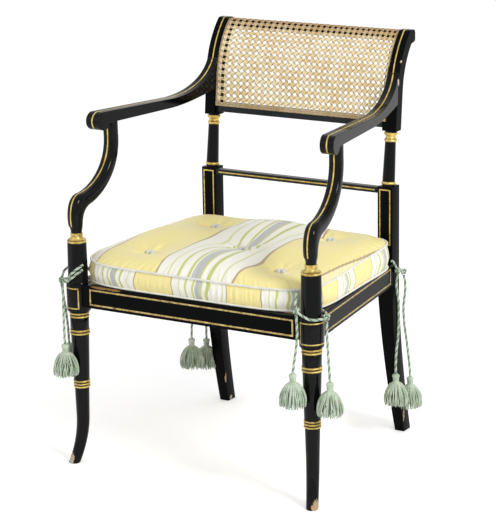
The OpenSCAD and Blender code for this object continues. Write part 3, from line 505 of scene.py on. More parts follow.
class Tree:
    """A node tree that is written as expressions."""

    def __init__(self, tree: bpy.types.NodeTree) -> None:
        """Wrap a node tree."""
        self.tree = tree

    def add(self, kind: str, settings: dict[str, object] | None = None,
            values: dict[str | int, object] | None = None) -> Nodes:
        """Add a node.

        Args:
            kind: The node's type without the words around it, such as Math.
            settings: Its settings, which are set first.
            values: What goes into its sockets: numbers, colours or wires.

        Returns:
            The node.
        """
        node = self.tree.nodes.new("ShaderNode" + kind)
        for key, value in (settings or {}).items():
            setattr(node, key, value)
        for key, value in (values or {}).items():
            self.feed(node.inputs[key], value)
        return Nodes(self, node)

    def feed(self, socket: bpy.types.NodeSocket, value: object) -> None:
        """Link a wire to a socket, or set a number or colour on it."""
        if isinstance(value, Wire):
            self.tree.links.new(value.socket, socket)
        elif isinstance(value, (tuple, list, Vector)):
            size = len(socket.default_value)
            socket.default_value = (*value, 1)[:size] if len(value) < size else value
        else:
            socket.default_value = value

    def seen(self) -> Wire:
        """Return 1 for what the camera sees, straight, in reflections or through glass."""
        path = self.add("LightPath")
        return path["Is Camera Ray"].most(path["Is Glossy Ray"]).most(path["Is Transmission Ray"])


class Shader(Tree):
    """A material that is written as expressions."""

    def __init__(self, name: str) -> None:
        """Make a material with a Principled shader and Object coordinates."""
        self.material = bpy.data.materials.new(name)
        self.material.use_nodes = True
        super().__init__(self.material.node_tree)
        self.surface = self.tree.nodes["Principled BSDF"]
        self.output = self.tree.nodes["Material Output"]
        self._place: Wire | None = None

    def set(self, **values: object) -> None:
        """Feed the Principled shader's sockets, whose names have _ for a space."""
        for key, value in values.items():
            self.feed(self.surface.inputs[key.replace("_", " ")], value)

    @property
    def place(self) -> Wire:
        """Return the Object coordinates, in metres."""
        if self._place is None:
            self._place = self.add("TexCoord")["Object"]
        return self._place

    def axes(self, vector: Wire | None = None) -> tuple[Wire, Wire, Wire]:
        """Return the three parts of a vector, or of the Object coordinates."""
        node = self.add("SeparateXYZ", {}, {0: vector or self.place})
        return node["X"], node["Y"], node["Z"]

    def scaled(self, x: float, y: float, z: float, vector: Wire | None = None) -> Wire:
        """Return the Object coordinates, or a vector, times a factor on each axis."""
        node = self.add("Mapping", {}, {"Vector": vector or self.place, "Scale": (x, y, z)})
        return node["Vector"]

    def noise(self, scale: float, detail: float = 3, rough: float = 0.5,
              vector: Wire | None = None, distortion: float = 0) -> Wire:
        """Return noise from 0 to 1, with scale in features a metre."""
        node = self.add("TexNoise", {"noise_dimensions": "3D"},
                        {"Vector": vector or self.place, "Scale": scale, "Detail": detail,
                         "Roughness": rough, "Distortion": distortion})
        return node["Fac"]

    def mark(self) -> Wire:
        """Return the attribute mark of the piece."""
        settings = {"attribute_type": "GEOMETRY", "attribute_name": "mark"}
        return self.add("Attribute", settings)["Fac"]

    def mix(self, share: Wire | float, a: object, b: object) -> Wire:
        """Return colour b mixed into colour a by share, where a colour can be its code."""
        a, b = (linear(c) if isinstance(c, str) else c for c in (a, b))
        node = self.add("Mix", {"data_type": "RGBA", "clamp_factor": True}, {0: share, 6: a, 7: b})
        return node[2]

    def bump(self, height: Wire, depth: float, strength: float = 1.0) -> Wire:
        """Return a normal for a height, whose full range is depth metres."""
        node = self.add("Bump", {}, {"Height": height, "Distance": depth, "Strength": strength})
        return node["Normal"]

    def dress(self, *pieces: Piece) -> None:
        """Give the material to pieces."""
        for piece in pieces:
            if piece.data.materials:
                piece.data.materials.clear()
            piece.data.materials.append(self.material)


def linear(code: str) -> tuple[float, float, float]:
    """Return a colour written as six hexadecimal digits in linear light."""
    parts = [int(code[i:i + 2], 16) / 255 for i in (0, 2, 4)]
    return tuple(c / 12.92 if c <= 0.04045 else ((c + 0.055) / 1.055) ** 2.4 for c in parts)


# Finishes


@dataclass(frozen=True)
class Lacquer:
    """Ebonised polish, worn through to the wood in places.

    A worn spot has its middle, its half sizes in millimetres and its colour.
    """

    name: str = "Lacquer"
    black: str = "060708"
    brown: str = "231A12"
    gloss: float = 0.04
    rough: float = 0.1
    haze: float = 1.0
    worn: tuple[tuple[Place, Place, str], ...] = ()

    def make(self) -> Shader:
        """Return the finish as a shader."""
        s = Shader(self.name)
        cloud = s.noise(9, 4, 0.55)
        fine = s.noise(260, 4, 0.6)
        scratch = s.noise(60, 5, 0.7, s.scaled(1, 1, 0.12))
        rubbed = (s.noise(38, 5, 0.65) + (fine - 0.5) * 0.4).step(0.66, 0.78)
        colour = s.mix(rubbed * 0.35, self.black, self.brown)
        grain = s.noise(240, 4, 0.7, s.scaled(1, 1, 0.5))
        bare: Wire | None = None
        for middle, half, tone in self.worn:
            centre = at(*middle)
            gap = s.add("Mapping", {}, {"Vector": s.place, "Scale": [1 / (h * MM) for h in half],
                                        "Location": [-c / (h * MM) for c, h in zip(centre, half)]})
            far = s.add("VectorMath", {"operation": "LENGTH"}, {0: gap["Vector"]})["Value"]
            spot = (1 - far + (grain - 0.5) * 1.5).step(0.12, 0.3)
            colour = s.mix(spot, colour, s.mix(fine, tone, "7A5A3A"))
            bare = spot if bare is None else bare.most(spot)
        rough = self.rough + (cloud * 0.08 + scratch * 0.12) * self.haze + rubbed * 0.15
        if bare is not None:
            rough = rough + bare * 0.35
        s.set(Base_Color=colour, Roughness=rough, Specular_IOR_Level=self.gloss,
              Normal=s.bump(cloud * 0.6 + fine * 0.12 + scratch * 0.28, 0.0006, 0.3))
        return s


@dataclass(frozen=True)
class Gilding:
    """Oil gilding that time has darkened and rubbed."""

    name: str = "Gilding"
    bright: str = "E6D07C"
    deep: str = "B8923E"
    ground: str = "3A2A10"
    wear: float = 0.56

    def make(self) -> Shader:
        """Return the finish as a shader."""
        s = Shader(self.name)
        tone = s.noise(70, 4, 0.6)
        fine = s.noise(420, 3, 0.6)
        worn = (s.noise(120, 5, 0.7) + (fine - 0.5) * 0.5).step(self.wear, self.wear + 0.14)
        gold = s.mix(tone.step(0.3, 0.75), self.bright, self.deep)
        s.set(Base_Color=s.mix(worn * 0.75, gold, self.ground),
              Metallic=0.7 - worn * 0.5, Roughness=0.34 + tone * 0.16 + worn * 0.1,
              Normal=s.bump(fine * 0.4 + tone * 0.6, 0.0004, 0.5))
        return s


@dataclass(frozen=True)
class Cane:
    """Split cane, glossy and a little uneven in tone, with painted shade on its marked strands."""

    light: str = "F8E9C0"
    warm: str = "E7CD96"
    dark: str = "704A22"
    crest: str = "A67C42"

    def make(self) -> Shader:
        """Return the finish as a shader."""
        s = Shader("Cane")
        tone = s.noise(34, 3, 0.6)
        grain = s.noise(700, 3, 0.6)
        patch = s.noise(260, 3, 0.6)
        # The mark attribute is painted shade: the sides and undersides of the strands, and the
        # slanting strands, are darkened
        edge = s.mark().step(0.3, 0.85)
        colour = s.mix(tone.step(0.35, 0.68), self.light, self.warm)
        _, _, height = s.axes()
        colour = s.mix(height.step(0.829, 0.851) * 0.6, colour, self.crest)
        # Dark brown goes on as random patches, and as painted shade where the strands are marked
        colour = s.mix((patch.step(0.6, 0.76) * 0.25).most(edge), colour, self.dark)
        s.set(Base_Color=colour, Roughness=0.42 + grain * 0.15, Specular_IOR_Level=0.4,
              Normal=s.bump(grain, 0.0002, 0.4))
        return s


@dataclass(frozen=True)
class Wood:
    """Plain beech under the seat."""

    light: str = "B48A58"
    dark: str = "7F5A34"

    def make(self) -> Shader:
        """Return the finish as a shader."""
        s = Shader("Beech")
        grain = s.noise(45, 5, 0.65, s.scaled(1, 4, 4), 0.6)
        pore = s.noise(500, 3, 0.6, s.scaled(0.2, 1, 1))
        s.set(Base_Color=s.mix(grain * 0.7 + pore * 0.3, self.light, self.dark),
              Roughness=0.6 + pore * 0.15, Normal=s.bump(pore, 0.0003, 0.5))
        return s


@dataclass(frozen=True)
class Metal:
    """Steel of the screws."""

    tone: str = "8B8C8F"

    def make(self) -> Shader:
        """Return the finish as a shader."""
        s = Shader("Steel")
        s.set(Base_Color=s.mix(s.noise(400, 3), self.tone, "5F5A55"),
              Metallic=1.0, Roughness=0.35 + s.noise(900) * 0.2)
        return s


@dataclass(frozen=True)
class Yarn:
    """Thick twisted cotton, for cords, tassels and threads."""

    name: str
    base: str
    light: str
    shade: str
    ply: float = 900

    def make(self) -> Shader:
        """Return the finish as a shader."""
        s = Shader(self.name)
        tone = s.noise(60, 3, 0.6)
        fibre = s.noise(self.ply, 3, 0.7)
        colour = s.mix(tone.step(0.3, 0.7), self.base, self.light)
        colour = s.mix(fibre.step(0.5, 0.75) * 0.5, colour, self.shade)
        # The mark attribute mixes in the shade colour: painted shade on the inner layers and the
        # core of a tassel, and a darker ply in each cord
        colour = s.mix(s.mark() * 0.85, colour, self.shade)
        s.set(Base_Color=colour, Roughness=0.85, Sheen_Weight=0.25, Sheen_Roughness=0.5,
              Specular_IOR_Level=0.2, Normal=s.bump(fibre, 0.0004, 0.7))
        return s


@dataclass(frozen=True)
class Silk:
    """Striped silk of the cushion.

    The stripes are given by their right edge in millimetres across the cloth, with their colour.
    """

    stripes: tuple[tuple[float, str], ...] = (
        (-262, "F6E798"), (-258, "B49A76"), (-246, "F0E6C4"), (-229, "F5F1E0"), (-225, "B49A76"),
        (-77, "F6E798"), (-73, "B49A76"), (-50, "F5F3E6"), (-46, "D8D9A0"), (-28, "F5F3E6"),
        (-22, "C7CC6E"), (-4, "F5F3E6"), (2, "C7CC6E"), (6, "F5F3E6"), (24, "B9BBB8"),
        (28, "C7CC6E"), (41, "F5F3E6"), (49, "BDC766"), (72, "F5F3E6"), (76, "D8D9A0"),
        (97, "F5F3E6"), (102, "B49A76"), (243, "F6E798"), (247, "B49A76"), (400, "F5EAB4"))

    def make(self) -> Shader:
        """Return the finish as a shader."""
        s = Shader("Silk")
        u = s.add("UVMap", {"uv_map": "cloth"})["UV"]
        across, along, _ = s.axes(u)
        shift = (s.noise(14, 2) - 0.5) * 0.0016
        line = across + shift
        colour: Wire | str = self.stripes[0][1]
        for (edge, _), (_, tone) in zip(self.stripes, self.stripes[1:]):
            share = line.step(edge * MM - 0.0007, edge * MM + 0.0007)
            colour = s.mix(share, colour, tone)
        weft = along.wave(0.0011)
        slub = s.noise(120, 3, 0.7, s.scaled(1, 12, 1, u))
        colour = s.mix((slub - 0.35) * 0.35, colour, "FFFFF2")
        s.set(Base_Color=colour, Roughness=0.4 + slub * 0.2, Specular_IOR_Level=0.5,
              Sheen_Weight=0.3, Sheen_Roughness=0.35, Anisotropic=0.3,
              Normal=s.bump(weft * 0.3 + slub * 0.7, 0.0003, 0.35))
        return s


# The chair's lines


@dataclass(frozen=True)
class Lines:
    """Sizes that more than one part follows."""

    chair_h: float = 855
    half_front: float = 270
    half_rear: float = 212.5
    leg_depth: float = 428
    seat_h: float = 381
    rail_h: float = 47
    rail_t: float = 26
    rake: float = 5.7
    stile_w: float = 34
    stile_d: float = 33
    block_top: float = 543
    upper_z: float = 655
    upper_out: float = 11.5
    straight: float = 85.02
    scroll_r: float = 184
    top_round: float = 10
    lip_w: float = 11
    lip_h: float = 26
    lip_round: float = 8
    lip_under: float = 6
    upper_t: float = 24
    cane_sink: float = 2
    cane_t: float = 1.6
    let_in: float = 1

    @property
    def slope(self) -> float:
        """Return how far the side rails close in for each millimetre back."""
        return (self.half_front - self.half_rear) / self.leg_depth

    @property
    def stile_in(self) -> float:
        """Return the inner face of a stile."""
        return self.half_rear - self.stile_w / 2

    @property
    def stile_out(self) -> float:
        """Return the outer face of a stile."""
        return self.half_rear + self.stile_w / 2

    @property
    def upper_front(self) -> float:
        """Return the face of the upper stile at its foot."""
        return (self.leg_depth + (self.upper_z - self.block_top) * tan(radians(self.rake))
                - self.upper_out)

    @property
    def bend(self) -> Point:
        """Return where the straight back turns into the scroll."""
        return (self.upper_front + self.straight * tan(radians(self.rake)),
                self.upper_z + self.straight)

    @property
    def arc(self) -> Point:
        """Return the middle of the scroll's arc."""
        y, z = self.bend
        a = radians(self.rake)
        return y + self.scroll_r * cos(a), z - self.scroll_r * sin(a)

    @property
    def lean(self) -> float:
        """Return the lean of the arc where the rounding of the top starts, in degrees."""
        return degrees(asin((self.chair_h - self.top_round - self.arc[1])
                                      / (self.scroll_r - self.top_round)))

    @property
    def lip_back(self) -> float:
        """Return how far back the lip reaches."""
        a = radians(self.lean)
        return (self.arc[0] - self.scroll_r * cos(a) + self.top_round * cos(a)
                + self.lip_w + self.lip_round)

    def on_arc(self, inset: float, turn: float) -> Point:
        """Return a point of the scroll at an angle in degrees, sunk below its face by inset."""
        a, r = radians(turn), self.scroll_r - inset
        return self.arc[0] - r * cos(a), self.arc[1] + r * sin(a)

    def face_y(self, z: float) -> float:
        """Return the depth of the back's face at a height."""
        if z < self.bend[1]:
            return self.upper_front + (z - self.upper_z) * tan(radians(self.rake))
        return self.arc[0] - sqrt(self.scroll_r ** 2 - (z - self.arc[1]) ** 2)

    def face(self, inset: float, foot: float | None = None, under: bool = True) -> Line:
        """Return the line of the back's face, over the top and down the lip.

        Args:
            inset: How far below the face the line lies.
            foot: The height at which it starts.
            under: Whether it goes on under the lip.

        Returns:
            Depths and heights in order.
        """
        foot = self.upper_z if foot is None else foot
        shift = inset / cos(radians(self.rake))
        out = [(self.face_y(foot) + shift, foot)]
        out += [self.on_arc(inset, lerp(self.rake, self.lean, i / 32)) for i in range(33)]
        out += arc(*self.on_arc(self.top_round, self.lean), self.top_round - inset,
                   180 - self.lean, 90, 8)[1:]
        out += arc(self.lip_back - self.lip_round, self.chair_h - self.lip_round,
                   self.lip_round - inset, 90, 0, 8)
        if under:
            out += arc(self.lip_back - self.lip_under, self.chair_h - self.lip_h + self.lip_under,
                       self.lip_under - inset, 0, -90, 5)
        return out

    def rear(self) -> Line:
        """Return the back edge, from under the lip down to the lower block."""
        top = self.chair_h - self.lip_h - self.lip_under / 2 - self.arc[1]
        lean = degrees(asin(top / (self.scroll_r - self.upper_t)))
        out = [self.on_arc(self.upper_t, lerp(lean, self.rake, i / 28)) for i in range(29)]
        return out + [(self.upper_front + self.upper_t / cos(radians(self.rake)),
                       self.upper_z)]


LINES = Lines()


def across(name: str, x0: float, x1: float, outline: Sequence[Point],
           bevel: float = 1.2, angle: float = 30) -> Piece:
    """Extrude an outline of depths and heights across the chair, from x0 to x1."""
    return Bench.slab(name, [at(x0, y, z) for y, z in outline], Vector(((x1 - x0) * MM, 0, 0)),
                      bevel * MM, angle)


def between(name: str, outline: Sequence[Point], bevel: float = 1.2, angle: float = 30) -> Piece:
    """Extrude an outline from stile to stile, let a little way into both."""
    half = LINES.stile_in + LINES.let_in
    return across(name, -half, half, outline, bevel, angle)


def fit(finish: Shader | None, piece: Piece, slot: str, *nodes: str) -> None:
    """Finish a piece, put it on the chair's body and report it.

    Args:
        finish: Its finish, or None where it has one already.
        piece: The piece.
        slot: The name of its material slot; not used.
        nodes: The CAD nodes that it stands for.
    """
    if finish:
        finish.dress(piece)
    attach(piece, BODY)
    if nodes:
        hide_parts(*nodes)
    LOG.info("%s: %d faces", piece.name, len(piece.data.polygons))


def fit_both(finish: Shader | None, left: Piece, slot: str, node: str = "") -> None:
    """Fit a piece on the sitter's left and its mirrored copy on the right."""
    pieces = [left, Bench.mirror(left, left.name.replace("left", "right"))]
    for side, piece in zip(Side, pieces):
        fit(finish, piece, slot, *([f"{node}_{side.word}"] if node else []))


# Parts of the frame


@dataclass
class FrontLeg:
    """A front leg, turned, with a sabre foot, gilt beads and a block for the seat rails."""

    lacquer: Shader
    gilding: Shader
    block_d: float = 48.7
    block_drop: float = 12
    block_edge: float = 1.2
    bead_d: float = 41
    bead_h: float = 6.5
    bead_gap: float = 2
    bead_parting: float = 2.2
    collar_gap: float = 23
    collar_d: float = 38.4
    low_ring_z: float = 158
    low_ring_h: float = 18
    low_ring_d: float = 34.6
    shoulder_d: float = 37.2
    shank_d: float = 32.3
    ankle_d: float = 30
    foot_d: float = 24
    sweep_z: float = 97
    toe_front: float = 22
    toe_side: float = 10
    post_d: float = 40.7
    post_top_d: float = 39
    post_h: float = 82
    neck_d: float = 24
    neck_h: float = 20
    panel_in: Point = (8, 9.5)
    panel_turn: float = 45
    panel_span: float = 78
    panel_w: float = 2.6

    @property
    def block_z(self) -> float:
        """Return the foot of the block."""
        return LINES.seat_h - LINES.rail_h - self.block_drop

    @property
    def upper_bead_z(self) -> float:
        """Return the foot of the upper pair of beads."""
        return self.block_z - self.bead_gap - 2 * self.bead_h

    @property
    def lower_bead_z(self) -> float:
        """Return the foot of the lower pair of beads."""
        return self.upper_bead_z - self.collar_gap - 2 * self.bead_h

    @property
    def post_top(self) -> float:
        """Return the top of the post, under its collar."""
        return LINES.seat_h + self.post_h

    def profile(self) -> Line:
        """Return the black parts of the turned leg as radii and heights."""
        core = (self.bead_d - self.bead_h) / 2
        low, ring, foot = self.low_ring_d / 2 - self.low_ring_h / 6, self.low_ring_z, self.block_z
        z1, z2, pair = self.lower_bead_z, self.upper_bead_z, 2 * self.bead_h
        shank, shoulder, neck = self.shank_d / 2, self.shoulder_d / 2, self.collar_d / 2
        b, c, seat = self.block_d / 2, self.block_edge, LINES.seat_h
        post, post_top, collar = self.post_d / 2, self.post_top_d / 2, self.post_top
        return [
            (0, ring + 1), (low, ring + 1), (low, ring + self.low_ring_h),
            (shank, ring + self.low_ring_h + 0.2),
            (lerp(shank, shoulder, 0.5), lerp(ring + self.low_ring_h, z1, 0.5)),
            (shoulder, z1 - 0.2), (core, z1), (core, z1 + pair),
            (neck - 0.6, z1 + pair + 0.2), (neck, z1 + pair + 1),
            (neck, z2 - 1), (neck - 0.6, z2 - 0.2), (core, z2), (core, z2 + pair),
            (core + 0.5, foot), (b - c, foot), (b - c * 0.3, foot + c * 0.3), (b, foot + c),
            (b, seat - c), (b - c * 0.3, seat - c * 0.3), (b - c, seat),
            (post + 0.8, seat + 0.3), (post, seat + self.bead_gap), (post_top, collar - 1),
            (post_top - 0.6, collar), (post_top - 1, collar + 2), (0, collar + 2)]

    def half_width(self, z: float) -> float:
        """Return the radius of the foot at a height."""
        shin = (self.ankle_d + self.foot_d) / 2
        if z > self.sweep_z:
            share = (self.low_ring_z - z) / (self.low_ring_z - self.sweep_z)
            return lerp(self.ankle_d, shin, share) / 2
        return lerp(shin, self.foot_d, 1 - z / self.sweep_z) / 2

    def foot(self) -> Piece:
        """Return the sabre foot, up to the lowest ring."""
        rings = []
        levels = [0, 0.5, 1.4] + [3 + (self.low_ring_z - 1) * i / 34 for i in range(35)]
        for z in levels:
            sweep = (1 - z / self.sweep_z) ** 2 if z < self.sweep_z else 0
            ease = max(0.0, 1.4 - z)
            rings.append(disc(at(LINES.half_front + self.toe_side * sweep,
                                 -self.toe_front * sweep, z),
                              (self.half_width(z) - ease * 0.8) * MM, 64))
        return Bench.loft("foot", rings)

    def beads(self) -> list[Piece]:
        """Return the gilt beads, the low ring and the neck."""
        foot = (LINES.half_front, 0.0, 0.0)
        parts = []
        third = self.low_ring_h / 3
        stacks = [(self.low_ring_d, self.low_ring_z, third, 3),
                  (self.bead_d, self.lower_bead_z, self.bead_h, 2),
                  (self.bead_d, self.upper_bead_z, self.bead_h, 2)]
        gap = self.bead_parting
        for d, z, h, count in stacks:
            for i in range(count):
                low, high = z + i * h + gap / 2, h - gap
                profile = [(d / 2 - h, low + 0.05)] + bead(d / 2, low, high)
                profile += [(d / 2 - h, low + high - 0.05)]
                parts.append(turned("bead", profile, foot, ring=True))
        z = self.post_top
        r = self.neck_d / 2
        cove = self.neck_h / 3
        neck = [(0, z + 1)] + bead(self.post_top_d / 2 + 0.5, z, self.bead_h - 1)
        neck += [(r + 2, z + self.bead_h - 0.8), (r + 2, z + self.bead_h)]
        neck += arc(r + cove, z + self.bead_h + cove, cove, 270, 150, 10)
        neck += [(r, z + self.neck_h), (0, z + self.neck_h)]
        parts.append(turned("neck", neck, foot))
        return parts

    def panel(self) -> Piece:
        """Return the gilt line that frames the outer face of the block."""
        r = self.block_d / 2
        low, high = self.block_z + self.panel_in[0], LINES.seat_h - self.panel_in[1]
        first, last = self.panel_turn - self.panel_span, self.panel_turn + self.panel_span
        marks = [(lerp(first, last, i / 40), low) for i in range(41)]
        marks += [(last, lerp(low, high, i / 6)) for i in range(1, 7)]
        marks += [(lerp(last, first, i / 40), high) for i in range(1, 41)]
        marks += [(first, lerp(high, low, i / 6)) for i in range(1, 6)]
        turns = [radians(turn) for turn, _ in marks]
        normals = [Vector((sin(a), -cos(a), 0)) for a in turns]
        route = [at(LINES.half_front + r * n.x, r * n.y, z) for n, (_, z) in zip(normals, marks)]
        return strip("panel", route, normals, self.panel_w, closed=True)

    def build(self) -> None:
        """Build both front legs."""
        turning = turned("turning", self.profile(), (LINES.half_front, 0, 0))
        left = Bench.join("front_leg_left_turned", [turning, self.foot()])
        gold = Bench.join("front_leg_left_gilding", [*self.beads(), self.panel()])
        fit_both(self.lacquer, left, "lacquer", "front_leg")
        fit_both(self.gilding, gold, GILT_SLOT)


@dataclass
class Arms:
    """The arms, which sweep up into the stiles, and their S-shaped supports."""

    lacquer: Shader
    gilding: Shader
    under_z: float = 691
    thick: float = 19.5
    knuckle_r: float = 19
    knuckle_drop: float = 13
    knuckle_y: float = 84
    width: float = 31
    back_width: float = 25.5
    inset: float = 4
    rise: float = 75
    run: float = 150
    support_run: float = 130
    support_w: float = 28.5
    neck_z: float = 483
    joint_z: float = 518
    joint_gap: float = 0.25
    joint_edge: float = 0.5
    edge: float = 2.4
    tenon: float = 3
    line_w: float = 2.8
    top_shares: tuple[Point, ...] = ((0, 0), (0.5, 0), (0.92, 0.35), (1, 1))
    under_shares: tuple[Point, ...] = ((0, 0), (0.35, 0.03), (0.6, 0.13), (1, 0.29))
    neck_d: float = 24
    front: tuple[Point, ...] = (
        (-0.112, 0.068), (-0.152, 0.185), (-0.125, 0.378), (0.132, 0.378), (0.451, 0.4),
        (0.86, 0.571), (0.832, 0.867))
    back: tuple[Point, ...] = (
        (0.085, 0.094), (0.105, 0.184), (0.164, 0.232), (0.32, 0.257), (0.722, 0.345),
        (1.037, 0.573), (0.99, 0.888))
    head: tuple[Point, ...] = ((0.828, 1), (0.988, 1))
    cup: tuple[Point, ...] = ((0, 0.88), (0.022, 0.94), (0.045, 1.02))

    @property
    def top(self) -> float:
        """Return the height of the arm's upper face."""
        return self.under_z + self.thick

    @property
    def arm_slope(self) -> float:
        """Return how far an arm closes in for each millimetre back."""
        x0 = LINES.half_front - self.inset
        x1 = LINES.stile_out - self.back_width / 2
        return (x0 - x1) / (LINES.bend[0] - self.knuckle_y)

    def arm_x(self, y: float) -> float:
        """Return the middle of the arm at a depth."""
        return LINES.half_front - self.inset - (y - self.knuckle_y) * self.arm_slope

    @property
    def support_slope(self) -> float:
        """Return how far the support closes in for each millimetre back."""
        return (LINES.half_front - self.arm_x(self.support_run)) / self.support_run

    def on_support(self, share: Sequence[float]) -> Point:
        """Return a depth and a height from shares of the support's run and rise."""
        return share[0] * self.support_run, self.neck_z + share[1] * (self.under_z - self.neck_z)

    def section(self, f: Sequence[float], b: Sequence[float], w: float, power: float,
                sides: int = 48) -> list[Vector]:
        """Return a rounded section between a front point and a back point."""
        out = []
        for k in range(sides):
            a = 2 * pi * k / sides
            u = copysign(abs(cos(a)) ** (2 / power), cos(a))
            v = copysign(abs(sin(a)) ** (2 / power), sin(a))
            y = (f[0] + b[0]) / 2 + v * (b[0] - f[0]) / 2
            z = (f[1] + b[1]) / 2 + v * (b[1] - f[1]) / 2
            out.append(at(LINES.half_front - y * self.support_slope + u * w / 2, y, z))
        return out

    def spans(self) -> list[tuple[Point, Point, float]]:
        """Return the front point, the back point and the roundness of each section."""
        out = []
        for first, count, skip in ((0, 14, 0), (3, 30, 1)):
            for i in range(skip, count + 1):
                f = self.on_support(bezier(self.front[first:first + 4], i / count))
                b = self.on_support(bezier(self.back[first:first + 4], i / count))
                out.append((f, b, 2.2 + i / count if first == 0 else 3.2))
        out.append((self.on_support(self.head[0]), self.on_support(self.head[1]), 3.2))
        return out

    def support(self) -> list[Piece]:
        """Return the support in two lengths that meet in a fine joint."""
        rings = []
        for z, share in self.cup:
            r = share * self.neck_d / 2
            _, z = self.on_support((0, z))
            rings.append(self.section((-r, z), (r, z), 2 * r, 2))
        rings += [self.section(f, b, self.support_w, p) for f, b, p in self.spans()]
        whole = Bench.loft("support", rings, angle=50)
        low = Bench.copy(whole, "support_low")
        Bench.cut(low, at(0, 0, self.joint_z), Vector((0, 0, 1)))
        Bench.cut(whole, at(0, 0, self.joint_z + self.joint_gap), Vector((0, 0, -1)))
        for part in (low, whole):
            Bench.close(part, 50)
            Bench.bevel(part, self.joint_edge * MM, 2, 60)
        return [low, whole]

    def knuckle(self, start: float, steps: int) -> Line:
        """Return the knuckle's round, from start degrees to where the top leaves it."""
        z = self.under_z - self.knuckle_drop + self.knuckle_r
        return arc(self.knuckle_y, z, self.knuckle_r, start, -258, steps)

    def sweep(self, shares: Sequence[Point], z: float) -> Line:
        """Return control points of a curve up to the stile, from shares of its run and rise."""
        start = LINES.face_y(self.top + self.rise) - self.run
        return [(start + s * self.run, z + h * self.rise) for s, h in shares]

    def outline(self) -> Line:
        """Return the arm from the side."""
        sweep = self.sweep(self.top_shares, self.top)
        under = self.sweep(self.under_shares, self.under_z)
        end_y, end_z = sweep[3]
        out = [(self.knuckle_y + 1.3 * self.knuckle_r, self.under_z), *self.knuckle(-25, 40)]
        out += [tuple(bezier(sweep, i / 24)) for i in range(25)]
        out.append((end_y + self.tenon, end_z))
        heights = [lerp(end_z - 2, under[3][1], i / 8) for i in range(9)]
        out += [(LINES.face_y(z) + self.tenon, z) for z in heights]
        return out + [tuple(bezier(under, 1 - i / 16)) for i in range(17)]

    def arm(self) -> Piece:
        """Return the arm, narrowing as it goes back."""
        obj = across("arm_left_shaped", -0.5, 0.5, self.outline(), 0)

        def slant(co: Array) -> Array:
            y = co[:, 1] / MM + MID_Y
            share = y / (LINES.bend[0] + LINES.stile_d)
            co[:, 0] = self.arm_x(y) * MM + co[:, 0] * lerp(self.width, self.back_width, share)
            return co

        Bench.shape(obj, slant)
        Bench.close(obj, 30)
        Bench.bevel(obj, self.edge * MM, 4, 45)
        return obj

    def arm_line(self) -> Piece:
        """Return the gilt line along the top of the arm and over its knuckle."""
        sweep = self.sweep(self.top_shares, self.top)
        line = self.knuckle(-130, 28)
        last = line[-1]
        line += [(lerp(last[0], sweep[0][0], i / 12), lerp(last[1], self.top, i / 12))
                 for i in range(1, 13)]
        line += [tuple(bezier(sweep, i / 30)) for i in range(1, 28)]
        return strip("arm_line", [at(self.arm_x(y), y, z) for y, z in line], normals_of(line))

    def support_line(self) -> Piece:
        """Return the gilt line down the front of the support."""
        line = [f for f, _, _ in self.spans()]
        route = [at(LINES.half_front - y * self.support_slope, y, z) for y, z in line]
        return strip("support_line", route, [-n for n in normals_of(line)], self.line_w)

    def build(self) -> None:
        """Build both arms and supports."""
        low, high = self.support()
        high = Bench.join("arm_support_left_shaped", [high, low])
        gold = Bench.join("arm_left_gilding", [self.arm_line(), self.support_line()])
        pieces = [high, self.arm(), gold]
        for side in Side:
            if side is Side.RIGHT:
                pieces = [Bench.mirror(p, p.name.replace("left", "right")) for p in pieces]
            fit(self.lacquer, pieces[0], "lacquer", f"arm_support_{side.word}")
            fit(self.lacquer, pieces[1], "lacquer", f"arm_{side.word}")
            fit(self.gilding, pieces[2], GILT_SLOT)


def normals_of(line: Sequence[Sequence[float]]) -> list[Vector]:
    """Return the normals of a line of depths and heights, on its left as it goes."""
    out = []
    for i in range(len(line)):
        a, b = line[max(i - 1, 0)], line[min(i + 1, len(line) - 1)]
        out.append(Vector((0, -(b[1] - a[1]), b[0] - a[0])).normalized())
    return out


